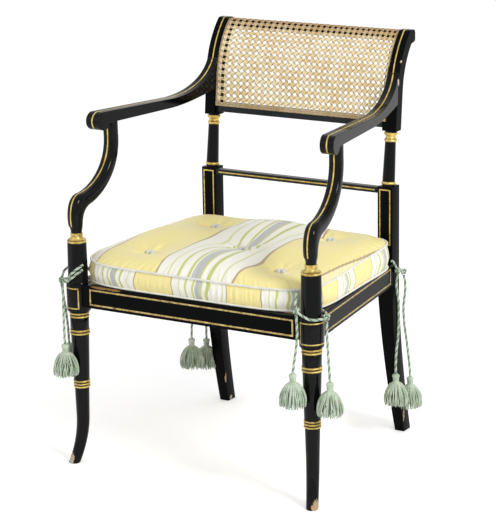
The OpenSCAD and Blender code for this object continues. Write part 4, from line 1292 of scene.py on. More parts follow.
@dataclass
class RearStile:
    """A rear leg and stile: sabre leg, block, turned column and scroll-over head."""

    lacquer: Shader
    shined: Shader
    gilding: Shader
    drop: float = 4
    foot_w: float = 22
    foot_d: float = 30
    sweep: float = 54.5
    column_d: float = 26.5
    column_top_d: float = 22.5
    ring_d: float = 30
    bead_h: float = 6.5
    capital_h: float = 22.5
    cove_r: float = 4
    cap_in: float = 1
    neck_in: float = 3.3
    base_up: float = 2
    fillet_h: float = 3
    fillet_r: float = 12
    ledge_w: float = 9
    frame_in: float = 5.5
    frame_up: float = 40
    frame_down: float = 7
    frame_w: float = 2.6
    line_foot: float = 768
    line_x: float = 215.5
    line_w: float = 2.8

    def lower(self) -> Piece:
        """Return the sabre leg and its block."""
        splay_z = LINES.seat_h - LINES.rail_h - self.drop
        heights = [0, 0.8] + [splay_z * i / 26 for i in range(1, 27)]
        heights += [LINES.seat_h, LINES.block_top - 1.2, LINES.block_top - 0.3, LINES.block_top]
        rings = []
        for z in heights:
            share = max(0.0, (splay_z - z) / splay_z)
            y = LINES.leg_depth + self.sweep * share ** 1.6
            d = LINES.stile_d - (LINES.stile_d - self.foot_d) * share ** 0.8
            x1 = LINES.stile_out
            x0 = lerp(LINES.stile_in, x1 - self.foot_w, share)
            trim = {0: 0.8, LINES.block_top: 1.2, LINES.block_top - 0.3: 0.35}.get(z, 0)
            corners = [at(x, v, z) for x, v in (
                (x0 + trim, y - d / 2 + trim), (x1 - trim, y - d / 2 + trim),
                (x1 - trim, y + d / 2 - trim), (x0 + trim, y + d / 2 - trim))]
            rings.append(rounded(corners, 1.3 * MM))
        return Bench.loft("lower", rings, angle=30)

    def column(self) -> tuple[list[Piece], list[Piece]]:
        """Return the black parts and the gilt parts of the turned column."""
        foot = (LINES.half_rear, LINES.leg_depth, LINES.block_top)
        length = (LINES.upper_z - LINES.block_top) / cos(radians(LINES.rake))
        r0, r1, ring = self.column_d / 2, self.column_top_d / 2, self.ring_d / 2
        cap, head = length - self.capital_h, length - self.fillet_h
        neck, abacus, bead_in = ring - self.neck_in, ring - self.cap_in, ring - self.bead_h
        low = self.base_up

        def turn(name: str, profile: Line, closed: bool = False) -> Piece:
            return turned(name, profile, foot, LINES.rake, 64, closed)

        shaft = turn("shaft", [(0, -low), (r0, -low), (r0, 1), (neck, low), (neck, low + 6),
                               (r0, low + 6.6), (lerp(r0, r1, 0.5), lerp(low + 6.6, cap, 0.5)),
                               (r1, cap + 0.5), (0, cap + 0.5)])
        fillet = turn("fillet", [(0, head - 0.5), (self.fillet_r, head - 0.5),
                                 (self.fillet_r, length + 0.5), (0, length + 0.5)])
        base = turn("base", [(bead_in + 0.5, low), *bead(ring, low, self.bead_h),
                             (bead_in + 0.5, low + self.bead_h)], True)
        capital = [(0, cap), *bead(r1 + 2, cap, self.bead_h)]
        capital += arc(abacus, cap + self.bead_h + self.cove_r, self.cove_r, 250, 150, 8)
        capital += [(abacus - 0.6, head - 4.9), (abacus, head - 4), (abacus, head - 0.7),
                    (abacus - 0.6, head), (0, head)]
        top = turn("capital", capital)
        return [shaft, fillet], [base, top]

    def upper(self) -> list[Piece]:
        """Return the raked and scrolled head, with its ledge for the cane."""
        ledge = LINES.cane_sink + LINES.cane_t
        outer = across("outer", LINES.stile_in + self.ledge_w, LINES.stile_out,
                       LINES.face(0) + LINES.rear(), 1.2, 40)
        inner = across("inner", LINES.stile_in, LINES.stile_in + self.ledge_w + 1,
                       LINES.face(ledge) + LINES.rear(), 0.8, 40)
        return [outer, inner]

    def lines(self) -> list[Piece]:
        """Return the gilt lines: a frame on the block's face and a line up the stile."""
        y = LINES.leg_depth - LINES.stile_d / 2
        x0, x1 = LINES.stile_in + self.frame_in, LINES.stile_out - self.frame_in
        z0, z1 = LINES.seat_h + self.frame_up, LINES.block_top - self.frame_down
        corners = [at(x0, y, z0), at(x1, y, z0), at(x1, y, z1), at(x0, y, z1)]
        frame = strip("frame", corners, [Vector((0, -1, 0))] * 4, self.frame_w, closed=True)
        top = LINES.face(0, self.line_foot, under=False)
        top = [top[0]] + [p for p in top[1:] if p[1] > self.line_foot or p[0] > LINES.lip_back - 1]
        up = strip("up", [at(self.line_x, *p) for p in top], normals_of(top), self.line_w)
        return [frame, up]

    def build(self) -> None:
        """Build both rear legs with their stiles."""
        black, gold = self.column()
        plain = [self.lower(), *self.upper()]
        self.lacquer.dress(*plain)
        self.shined.dress(*black)
        left = Bench.join("rear_stile_left_shaped", plain + black)
        lines = Bench.join("rear_stile_left_gilding", gold + self.lines())
        fit_both(None, left, "lacquer", "rear_stile")
        fit_both(self.gilding, lines, GILT_SLOT)


@dataclass
class SeatFrame:
    """The four seat rails, lined with gilt."""

    lacquer: Shader
    gilding: Shader
    front_out: float = 18
    side_out: float = 15
    ledge_w: float = 9
    block_r: float = 24.35
    tenon: float = 3
    side_start: float = 18
    line_w: float = 3.4
    line_z: Point = (342, 372.5)
    front_line_x: Point = (-229, 238)
    side_line_in: Point = (36, 12)

    def section(self, inner: float, outer: float) -> Line:
        """Return a rail's section, with a ledge for the cane along its inner edge."""
        z0, z1 = LINES.seat_h - LINES.rail_h, LINES.seat_h
        low = z1 - LINES.cane_sink - LINES.cane_t
        step = inner + copysign(self.ledge_w, outer - inner)
        return [(inner, z0), (outer, z0), (outer, z1), (step, z1), (step, low), (inner, low)]

    @staticmethod
    def aslant(x: float, y: float, z: float) -> Vector:
        """Return a place counted out from and along the slanting left rail."""
        angle = atan(LINES.slope)
        return at(LINES.half_front + x * cos(angle) - y * sin(angle),
                  x * sin(angle) + y * cos(angle), z)

    def rails(self) -> list[Piece]:
        """Return the front, the rear and the sitter's left rail."""
        half = LINES.half_front - self.block_r + self.tenon
        front = across("seat_front_rail_shaped", -half, half,
                       self.section(LINES.rail_t - self.front_out, -self.front_out), 1.4)
        y = LINES.leg_depth + 1 - LINES.rail_t / 2
        rear = between("seat_rear_rail_shaped", self.section(y, y + LINES.rail_t))
        end = (LINES.leg_depth - LINES.stile_d / 2 + 2) * hypot(1, LINES.slope)
        outline = [self.aslant(x, self.side_start, z)
                   for x, z in self.section(self.side_out - LINES.rail_t, self.side_out)]
        along = self.aslant(0, end, 0) - self.aslant(0, self.side_start, 0)
        return [front, rear, Bench.slab("seat_side_rail_left_shaped", outline, along, 1.3 * MM)]

    def lines(self) -> list[Piece]:
        """Return the gilt frames of the front rail and of the left rail."""
        y = -self.front_out
        (x0, x1), (z0, z1) = self.front_line_x, self.line_z
        front = strip("seat_front_rail_gilding", [at(x0, y, z0), at(x1, y, z0), at(x1, y, z1),
                                                  at(x0, y, z1)],
                      [Vector((0, -1, 0))] * 4, self.line_w, closed=True)
        x, y0 = self.side_out, self.side_line_in[0]
        length = (LINES.leg_depth - LINES.stile_d / 2) * hypot(1, LINES.slope)
        y1 = length - self.side_line_in[1]
        corners = [self.aslant(x, y, z) for y, z in ((y0, z0), (y1, z0), (y1, z1), (y0, z1))]
        outwards = (self.aslant(1, 0, 0) - self.aslant(0, 0, 0)).normalized()
        return [front, strip("seat_side_rail_left_gilding", corners, [outwards] * 4, self.line_w,
                             closed=True)]

    def build(self) -> None:
        """Build the rails and their lines."""
        front, rear, side = self.rails()
        fit(self.lacquer, front, "lacquer", "seat_front_rail")
        fit(self.lacquer, rear, "lacquer", "seat_rear_rail")
        fit_both(self.lacquer, side, "lacquer", "seat_side_rail")
        front_line, side_line = self.lines()
        fit(self.gilding, front_line, GILT_SLOT)
        fit_both(self.gilding, side_line, GILT_SLOT)


@dataclass
class BackRails:
    """The mid rail, the lower rail and the crest rail under the cane."""

    lacquer: Shader
    # A lacquer painted lighter grey: a painted reflection of the pale floor on the mid and lower
    # rails
    painted_sheen: Shader
    gilding: Shader
    mid_h: float = 12.5
    mid_t: float = 16
    mid_in: float = 2
    mid_drop: float = 9
    lower_h: float = 19
    lower_show: float = 12
    lower_t: float = 18
    lower_up: float = 7
    crest_h: float = 21.5
    line_reach: float = 188
    line_w: float = 2.6

    def mid(self) -> Piece:
        """Return the mid rail."""
        y0 = LINES.leg_depth - LINES.stile_d / 2 + self.mid_in
        z1 = LINES.block_top - self.mid_drop + self.mid_h / 2
        outline = [(y0, z1 - self.mid_h), (y0 + self.mid_t, z1 - self.mid_h),
                   (y0 + self.mid_t, z1), (y0, z1)]
        return between("back_mid_rail_shaped", outline)

    def lower(self) -> Piece:
        """Return the lower back rail, raked, with a ledge for the cane."""
        z0 = LINES.upper_z + self.lower_up
        zl, z1 = z0 + self.lower_show, z0 + self.lower_h
        tilt = cos(radians(LINES.rake))
        a, ledge = LINES.cane_sink / tilt, (LINES.cane_sink + LINES.cane_t)
        b = ledge + self.lower_t
        outline = [(LINES.face_y(z0) + a, z0), (LINES.face_y(zl) + a, zl),
                   (LINES.face_y(zl) + ledge / tilt, zl), (LINES.face_y(z1) + ledge / tilt, z1),
                   (LINES.face_y(z1) + b, z1), (LINES.face_y(z0) + b, z0)]
        return between("back_lower_rail_shaped", outline, 1)

    def crest(self) -> Piece:
        """Return the crest rail, whose lip turns over at the back."""
        z0 = LINES.chair_h - self.crest_h
        ledge = LINES.cane_sink + LINES.cane_t
        y1 = LINES.lip_back - LINES.lip_w
        face, rear = LINES.face(ledge), LINES.rear()[0]
        front = [p for p in face if p[1] > z0 or p[0] > y1]
        last = front[-1]
        z1 = lerp(last[1], rear[1], (last[0] - y1) / (last[0] - rear[0]))
        outline = front + [(y1, z1), (y1, z0), self.crossing(face, z0)]
        return between("crest_rail_shaped", outline, 0.8, 40)

    @staticmethod
    def crossing(line: Sequence[Point], z: float) -> Point:
        """Return where a line of depths and heights first crosses a height."""
        for a, b in zip(line, line[1:]):
            if (a[1] - z) * (b[1] - z) <= 0 and a[1] != b[1]:
                return lerp(a[0], b[0], (z - a[1]) / (b[1] - a[1])), z
        return line[-1]

    def mid_line(self) -> Piece:
        """Return the gilt line along the mid rail."""
        y = LINES.leg_depth - LINES.stile_d / 2 + self.mid_in
        z = LINES.block_top - self.mid_drop
        route = [at(lerp(-self.line_reach, self.line_reach, i / 12), y, z) for i in range(13)]
        return strip("back_mid_rail_gilding", route, [Vector((0, -1, 0))] * 13, self.line_w)

    def build(self) -> None:
        """Build the three rails."""
        pieces = {"back_mid_rail": self.mid(), "back_lower_rail": self.lower(),
                  "crest_rail": self.crest()}
        for node, piece in pieces.items():
            # The mid and lower rails take the lacquer painted lighter grey, as a painted reflection
            fit(self.lacquer if node == "crest_rail" else self.painted_sheen, piece, "lacquer", node)
        fit(self.gilding, self.mid_line(), GILT_SLOT)


@dataclass
class CaneBack:
    """The six-way woven cane, which runs up the face, over the top and down the lip.

    One repeat of the weave is modelled flat, repeated, cut to the panel and laid on the scroll.
    """

    finish: Shader
    pitch: float = 13.65
    row: float = 13.4
    pair: float = 1.75
    pair_w: float = 3.15
    clear: float = 4.3
    slant_w: float = 2.5
    # The slanting strands are darkened all over, a painted shade for the shadows along them
    slant_stain: float = 0.36
    border_w: float = 4.6
    braid_w: float = 1.9
    braid_h: float = 0.9
    braid_swing: float = 1.25
    braid_stain: float = 0.3
    foot_rows: tuple[float, ...] = (2.3, 6.6)
    across_terms: tuple[float, float, float] = (2.45, 13.856, -0.0683)
    along_terms: tuple[float, float, float] = (-4.14, 14.285, -0.0875)
    thick: float = 0.5
    lift: float = 0.62
    dip: float = 0.34
    half_width: float = 204.3
    foot_z: float = 674.2

    def ribbon(self, line: Sequence[Place], width: float, stain_and_shade: float = 0,
               edge: float = 1) -> Piece:
        """Return a strand with an arched top along a flat line, in millimetres.

        Args:
            line: Its route on the flat weave.
            width: Its width.
            stain_and_shade: How dark its middle is, from 0 to 1: painted shade on the slanting
                strands, a brown tone on the border strands.
            edge: How dark its edges are, a painted shade along its sides.

        Returns:
            The strand.
        """
        rings = []
        # The third value of each corner marks the strand's sides and underside for painted shade
        section = ((-0.5, -0.5, 1), (-0.36, 0.35, 0.8), (0, 0.5, 0), (0.36, 0.35, 0.8),
                   (0.5, -0.5, 1))
        for i, p in enumerate(line):
            a, b = line[max(i - 1, 0)], line[min(i + 1, len(line) - 1)]
            along = Vector((b[0] - a[0], b[1] - a[1], 0)).normalized()
            side = Vector((along.y, -along.x, 0))
            rings.append([(Vector(p) + side * width * u + Vector((0, 0, h * self.thick))) * MM
                          for u, h, _ in section])
        return Bench.loft("ribbon", rings, capped=False, angle=70,
                          marks=[max(m * edge, stain_and_shade) for _, _, m in section])

    def straight(self) -> Piece:
        """Return one repeat of the pairs of upright and level strands."""
        parts = []
        for sign in (-1, 1):
            for step, other, level in ((self.row, self.pitch, 0), (self.pitch, self.row, 1)):
                gaps = (-step / 2, -self.clear, -self.pair, 0, self.pair, self.clear, step / 2)
                waves = (0, 0, -sign, 0, sign, 0, 0)
                route = []
                for gap, wave in zip(gaps, waves):
                    spot = [other / 2 + sign * self.pair, step / 2 + gap]
                    if level:
                        spot.reverse()
                    route.append((*spot, (-wave if level else wave) * self.dip))
                # The pairs get half the painted shade on their edges
                parts.append(self.ribbon(route, self.pair_w, 0, 0.5))
        return Bench.join("cane_back_pairs", parts)

    def slanting(self) -> Piece:
        """Return one repeat of the two slanting strands."""
        p, q = self.pitch, self.row
        parts = []
        ends = (((0.5, 0), (0, 0.5), 1), ((1, 0.5), (0.5, 1), 1),
                ((0.5, 0), (1, 0.5), -1), ((0, 0.5), (0.5, 1), -1))
        for (x0, y0), (x1, y1), over in ends:
            line = []
            for i in range(7):
                u, v = lerp(x0, x1, i / 6), lerp(y0, y1, i / 6)
                line.append((u * p, v * q, -over * self.lift * cos(2 * pi * u)))
            parts.append(self.ribbon(line, self.slant_w, self.slant_stain))
        return Bench.join("cane_back_diagonals", parts)

    def route(self) -> tuple[Array, Array]:
        """Return the line that the cane follows and how far along it each point is."""
        line = LINES.face(LINES.cane_sink + LINES.cane_t / 2, self.foot_z, under=False)
        line.append((line[-1][0], LINES.chair_h - LINES.lip_h + 6))
        dense = [line[0]]
        for a, b in zip(line, line[1:]):
            n = max(1, int(dist(a, b) / 1.5))
            dense += [tuple(np.add(a, np.subtract(b, a) * k / n)) for k in range(1, n + 1)]
        points = np.array(dense)
        return points, runs(points)

    def border(self, total: float) -> list[Piece]:
        """Return the braided strands along the sides and the foot, over the ends of the weave."""
        x, half = self.half_width, self.border_w / 2
        out = []
        for turn in (0, pi):
            def braid(far: float) -> Point:
                a = 2 * pi * far / self.pitch * 2 + turn
                return self.braid_swing * sin(a), self.braid_h + 0.3 * cos(a)

            count = int(total / 0.9)
            up = [(total * i / count, *braid(total * i / count)) for i in range(count + 1)]
            for sign in (-1, 1):
                out.append(self.ribbon([(sign * (x - half + c), v, h) for v, c, h in up],
                                       self.braid_w, self.braid_stain))
            count = int(2 * x / 0.9)
            level = [(lerp(-x, x, i / count), *braid(2 * x * i / count)) for i in range(count + 1)]
            for middle in self.foot_rows:
                out.append(self.ribbon([(u, middle + c, h) for u, c, h in level],
                                       self.braid_w, self.braid_stain))
        return out

    def lay(self, tile: Piece, bordered: bool) -> Piece:
        """Repeat a tile over the panel, cut it to the border and bend it over the scroll."""
        points, far = self.route()
        total = far[-1]
        cols, left, rows = 34, -16, 20
        Bench.array(tile, Vector((self.pitch * MM, 0, 0)), cols)
        Bench.array(tile, Vector((0, self.row * MM, 0)), rows)
        tile.data.transform(Matrix.Translation(Vector((left * self.pitch * MM, 0, 0))))

        def spread(co: Array) -> Array:
            for axis, step, (a, b, c) in ((0, self.pitch, self.across_terms),
                                          (1, self.row, self.along_terms)):
                k = co[:, axis] / MM / step
                co[:, axis] = (a + b * k + c * k * k) * MM
            return co

        Bench.shape(tile, spread)
        w = self.half_width * MM
        for place, normal in (((-w, 0, 0), (-1, 0, 0)), ((w, 0, 0), (1, 0, 0)),
                              ((0, 0, 0), (0, -1, 0)), ((0, total * MM, 0), (0, 1, 0))):
            Bench.cut(tile, Vector(place), Vector(normal))
        if bordered:
            tile = Bench.join(tile.name, [tile, *self.border(total)])
        tangent = np.gradient(points, axis=0)
        tangent /= np.linalg.norm(tangent, axis=1)[:, None]

        def bend(co: Array) -> Array:
            v = co[:, 1] / MM
            y, z = (np.interp(v, far, points[:, k]) for k in (0, 1))
            ty, tz = (np.interp(v, far, tangent[:, k]) for k in (0, 1))
            h = co[:, 2] / MM
            return np.stack([co[:, 0], (y - tz * h - MID_Y) * MM, (z + ty * h) * MM], axis=1)

        Bench.shape(tile, bend)
        Bench.close(tile, 60)
        return tile

    def build(self) -> None:
        """Build the two layers of the weave."""
        fit(self.finish, self.lay(self.straight(), True), "cane", "back_cane_panel")
        fit(self.finish, self.lay(self.slanting(), False), "cane")


# Cushion


@dataclass
class Cushion:
    """The loose squab cushion of striped silk, with piping, gathered boxing and five tufts."""

    silk: Shader
    thread: Shader
    foot_z: float = 381.6
    front_y: float = -9
    back_y: float = 406.5
    front_over: float = 6
    back_over: float = 14
    boxing_h: float = 43
    crown_h: float = 38
    crown_rise: float = 10
    fullness: float = 7
    bulge: float = 6
    piping_d: float = 4.2
    tuft_depth: float = 38
    tuft_reach: float = 75
    tuft_d: float = 30
    tuft_lift: float = 3.5
    threads: int = 26
    thread_r: float = 1.1
    gather: float = 1.8
    gather_waves: tuple[Place, ...] = ((11.5, 0, 0.6), (7.9, 2, 0.35), (17, 4, 0.45))
    pucker: float = 1.7
    pucker_waves: tuple[Place, ...] = ((13.5, 1, 0.6), (9.1, 3, 0.4), (21, 5, 0.5))
    fold: float = 3.0
    pinch: float = 0.65
    pinch_reach: float = 40
    repeat: float = 333
    swells: tuple[Place, ...] = ((205, 26, 7), (165, 22, 4), (28, 14, 2))
    wobble: float = 2.2
    boxing: tuple[Point, ...] = (
        (-860, -1495), (-196, -350), (-180, -327), (-161, -300), (-122, -233), (-36, -75),
        (-3.5, -25), (24, 15), (43, 45), (79, 74), (87, 100), (161, 255), (193, 308), (218, 332),
        (290, 433), (345, 588), (428, 766), (507, 921), (600, 1044), (860, 1492))
    sides: int = 720
    tufts: tuple[Point, ...] = (
        (-0.58, 0.24), (0.58, 0.225), (0.01, 0.49), (-0.58, 0.79), (0.56, 0.81))

    @property
    def depth(self) -> float:
        """Return the cushion's depth."""
        return self.back_y - self.front_y

    @property
    def mid_y(self) -> float:
        """Return the middle of the cushion's depth."""
        return (self.front_y + self.back_y) / 2

    def share(self, y: Array) -> Array:
        """Return how far back a depth lies, from 0 at the front edge to 1."""
        return (y - self.front_y) / self.depth

    def half(self, y: float) -> float:
        """Return half the cushion's width at a depth."""
        return (LINES.half_front - y * LINES.slope + self.front_over
                + (self.back_over - self.front_over) * float(self.share(y)))

    def reach(self, a: Array) -> Array:
        """Return the distance from the middle to the edge in each direction."""
        hx, hy = self.half(self.mid_y), self.depth / 2
        narrowing = (self.half(self.front_y) - self.half(self.back_y)) / self.depth
        rx = np.abs(np.cos(a)) / hx * (1 + narrowing * np.sin(a) * hy / hx)
        ry = np.abs(np.sin(a)) / hy
        p = np.where(np.sin(a) < 0, 5.3, 9.0)
        out = 1 / (rx ** p + ry ** p) ** (1 / p)
        for middle, width, swell in self.swells:
            off = (np.degrees(a) - middle + 180) % 360 - 180
            out = out + swell * np.exp(-(off / width) ** 2)
        return out

    def edge(self, start: float = 0) -> tuple[Array, Array]:
        """Return directions once round from start, and how far along the edge each one is."""
        a = np.linspace(start, start + 2 * pi, 4001)
        r = self.reach(a)
        return a, runs(np.stack([r * np.cos(a), r * np.sin(a)], axis=1))

    def angles(self) -> Array:
        """Return directions whose edge points lie evenly along the edge."""
        a, far = self.edge()
        return np.interp(np.arange(self.sides) * far[-1] / self.sides, far, a)

    def tuft_places(self) -> Array:
        """Return where the tufts are, seen from above."""
        out = []
        for u, v in self.tufts:
            y = self.front_y + v * self.depth
            out.append((u * self.half(y), y))
        return np.array(out)

    def ripple(self, waves: Sequence[Place]) -> Array:
        """Return an uneven wave round the edge, from waves of a length, a phase and a height."""
        whole = self.edge()[1][-1]
        far = np.arange(self.sides) * whole / self.sides
        turn = 2 * pi / whole
        bent = far + 9 * np.sin(6 * turn * far) + 5 * np.sin(14 * turn * far + 1.3)
        return sum(h * np.sin(turn * bent * round(whole / size) + phase)
                   for size, phase, h in waves)

    def folds(self, x: Array, y: Array) -> Array:
        """Return the folds that run out from the tufts, and the soft creases between them."""
        out = 0.9 * np.sin(x / 31.0 + 1.6 * np.sin(y / 83.0)) * np.sin(y / 67.0 + x / 140.0)
        for k, (tx, ty) in enumerate(self.tuft_places()):
            d = np.hypot(x - tx, y - ty)
            t = np.arctan2(y - ty, x - tx)
            rays = (0.55 * np.cos(7 * t + 1.7 * k) + 0.35 * np.cos(11 * t + 0.6 * k + d / 24)
                    + 0.45 * np.cos(4 * t + 2.9 * k - d / 40))
            out += self.fold * rays * np.exp(-((d - 17) / 24) ** 2) * np.clip(d / 12, 0, 1)
        return out

    def top_edge(self, y: Array) -> Array:
        """Return the height of the top edge at a depth."""
        return self.foot_z + self.boxing_h + self.crown_rise * self.share(y)

    def crown(self, x: Array, y: Array, s: Array) -> Array:
        """Return the height of the top at places a share s of the way out to the edge."""
        pull = np.zeros_like(x)
        for tx, ty in self.tuft_places():
            d = np.hypot(x - tx, y - ty)
            pull += np.exp(-(d / self.tuft_reach) ** 1.05) ** 4
        return (self.top_edge(y) + self.crown_h * (1 - s ** self.fullness)
                - self.tuft_depth * pull ** 0.25 * (1 - s ** 6))

    def body(self) -> Piece:
        """Return the filled cover as one closed form."""
        a = self.angles()
        r = self.reach(a)
        rings = []

        def ring(x: Array, y: Array, z: Array) -> list[Vector]:
            return [at(*p) for p in zip(x, y, z)]

        for s in (0.02, 0.3, 0.6, 0.85, 0.96):
            rings.append(ring(s * r * np.cos(a), self.mid_y + s * r * np.sin(a),
                              np.full_like(a, self.foot_z)))
        swell = 0.65 + 0.35 * np.sin(10 * pi * np.arange(self.sides) / self.sides + 0.8)
        waves = self.gather * swell * self.ripple(self.gather_waves)
        for t in np.linspace(0, 1, 17):
            ease = min(1.0, 7 * t, 7 * (1 - t)) * (0.7 + 0.3 * cos(4 * pi * t))
            out = r + self.bulge * sin(pi * t) + waves * ease
            x, y = out * np.cos(a), self.mid_y + out * np.sin(a)
            rings.append(ring(x, y, self.foot_z + t * (self.top_edge(y) - self.foot_z)))
        crumple = self.pucker * self.ripple(self.pucker_waves)
        for s in list(1 - (np.arange(1, 74) / 74) ** 1.2) + [0.003]:
            x, y = s * r * np.cos(a), self.mid_y + s * r * np.sin(a)
            inward = (1 - s) * r
            rings.append(ring(x, y, self.crown(x, y, np.full_like(a, s))
                              + self.folds(x, y) * np.clip(inward / 30, 0, 1)
                              + crumple * np.clip(inward / 4, 0, 1) * np.exp(-inward / 16)))
        return Bench.loft("seat_cushion_cover", rings, angle=70)

    def drawn_in(self, x: Array, y: Array) -> Array:
        """Return the place across the cloth of places on the top, which the tufts draw in."""
        out = x.copy()
        for tx, ty in self.tuft_places():
            d = np.hypot(x - tx, y - ty)
            out += (x - tx) * self.pinch * np.exp(-(d / self.pinch_reach) ** 2)
        return out

    def unwrap(self, obj: Piece) -> None:
        """Lay the cloth's own coordinates on the cover, in metres, with the stripes along V."""
        mesh = obj.data
        layer = mesh.uv_layers.new(name="cloth")
        co = np.empty(len(mesh.vertices) * 3)
        mesh.vertices.foreach_get("co", co)
        co = co.reshape(-1, 3)
        loops = np.empty(len(mesh.loops), int)
        mesh.loops.foreach_get("vertex_index", loops)
        x, y = co[:, 0] / MM, co[:, 1] / MM + MID_Y
        height = co[:, 2] / MM
        around = np.arctan2(y - self.mid_y, x)
        rim = (np.hypot(x, y - self.mid_y) > 0.985 * self.reach(around)) & (
            height < self.top_edge(y) + 0.01)
        u, v = self.drawn_in(x, y), y.copy()
        turns, far = self.edge(-pi / 2)
        place = np.interp((around + pi / 2) % (2 * pi), turns + pi / 2, far)
        p, c = zip(*self.boxing)
        us, vs = u[loops], v[loops]
        for face in mesh.polygons:
            corners = list(face.vertices)
            if len(corners) == 4 and rim[corners].all():
                spots = place[corners]
                if np.ptp(spots) > far[-1] / 2:
                    spots = np.where(spots < far[-1] / 2, spots + far[-1], spots)
                if spots.mean() > far[-1] / 2:
                    spots = spots - far[-1]
                cloth = np.interp(spots, p, c) + self.wobble * np.sin(
                    height[corners] / 7 + spots / 26)
                cloth -= self.repeat * np.floor((cloth.mean() + 154) / self.repeat)
                span = slice(face.loop_start, face.loop_start + 4)
                us[span], vs[span] = cloth, height[corners]
        layer.data.foreach_set("uv", np.stack([us * MM, vs * MM], axis=1).ravel())

    def piping(self, top: bool) -> Piece:
        """Return a ring of piping at the foot or the top of the boxing."""
        a = self.angles()
        part = 90 if top else 180
        out = (self.piping_d / 2 - 0.6
               + self.bulge * sin(radians(part * self.piping_d / self.boxing_h)))
        r = self.reach(a) + out
        x, y = r * np.cos(a), self.mid_y + r * np.sin(a)
        z = self.top_edge(y) if top else np.full_like(a, self.foot_z + self.piping_d / 2)
        path = [at(*p) / MM for p in zip(x, y, z)]
        return tube("piping", path, self.piping_d / 2, 14, (0, 0, 1), closed=True)

    def tuft(self, name: str) -> Piece:
        """Return a knot of thread, modelled at the origin."""
        parts = []
        rng = np.random.default_rng(11)
        for k in range(self.threads):
            turn = 2 * pi * k / self.threads + rng.uniform(-0.1, 0.1)
            out = Vector((cos(turn), sin(turn), 0))
            side = Vector((-out.y, out.x, 0))
            reach = self.tuft_d / 2 * rng.uniform(0.7, 1.08)
            rise, lean = rng.uniform(3.4, 7.4), rng.uniform(-3.0, 3.0)
            line = [out * reach * u + side * lean * u * u
                    + Vector((0, 0, 1.2 + rise * sin(pi * min(u * 0.95 + 0.12, 1))))
                    for u in np.linspace(0, 1, 6)]
            parts.append(tube("thread", line, self.thread_r, 5, (0.2, 0.1, 1)))
        return Bench.join(name, parts)

    def build(self) -> None:
        """Build the cover, the piping and the tufts."""
        cover = self.body()
        self.unwrap(cover)
        fit(self.silk, cover, "silk", "seat_cushion")
        piping = Bench.join("seat_cushion_piping", [self.piping(False), self.piping(True)])
        fit(self.thread, piping, "piping", "cushion_piping")
        first = self.tuft("tufts")
        places = self.tuft_places()
        x, y = places[:, 0], places[:, 1]
        far = np.hypot(x, y - self.mid_y)
        s = far / self.reach(np.arctan2(y - self.mid_y, x))
        z = self.crown(x, y, s) + self.tuft_lift
        copies = [Bench.copy(first, "tuft", Matrix.Translation(at(px, py, pz)))
                  for px, py, pz in zip(x, y, z)]
        bpy.data.objects.remove(first)
        tufts = Bench.join("seat_cushion_tufts", copies)
        fit(self.thread, tufts, "piping", "cushion_tufts")


# Ties


Route = tuple[Place, ...]


@dataclass
class Tie:
    """The tie at one corner, in places counted from the top of the rail at the leg's axis."""

    corner: str
    anchor: Place
    knots: Route
    strands: tuple[Route, ...]
    ends: tuple[Route, ...]

    def path(self, route: Route, steps: int = 3) -> Array:
        """Return a route as a smooth line in millimetres of the chair."""
        return through(np.asarray(route, float) + np.asarray(self.anchor, float), steps)


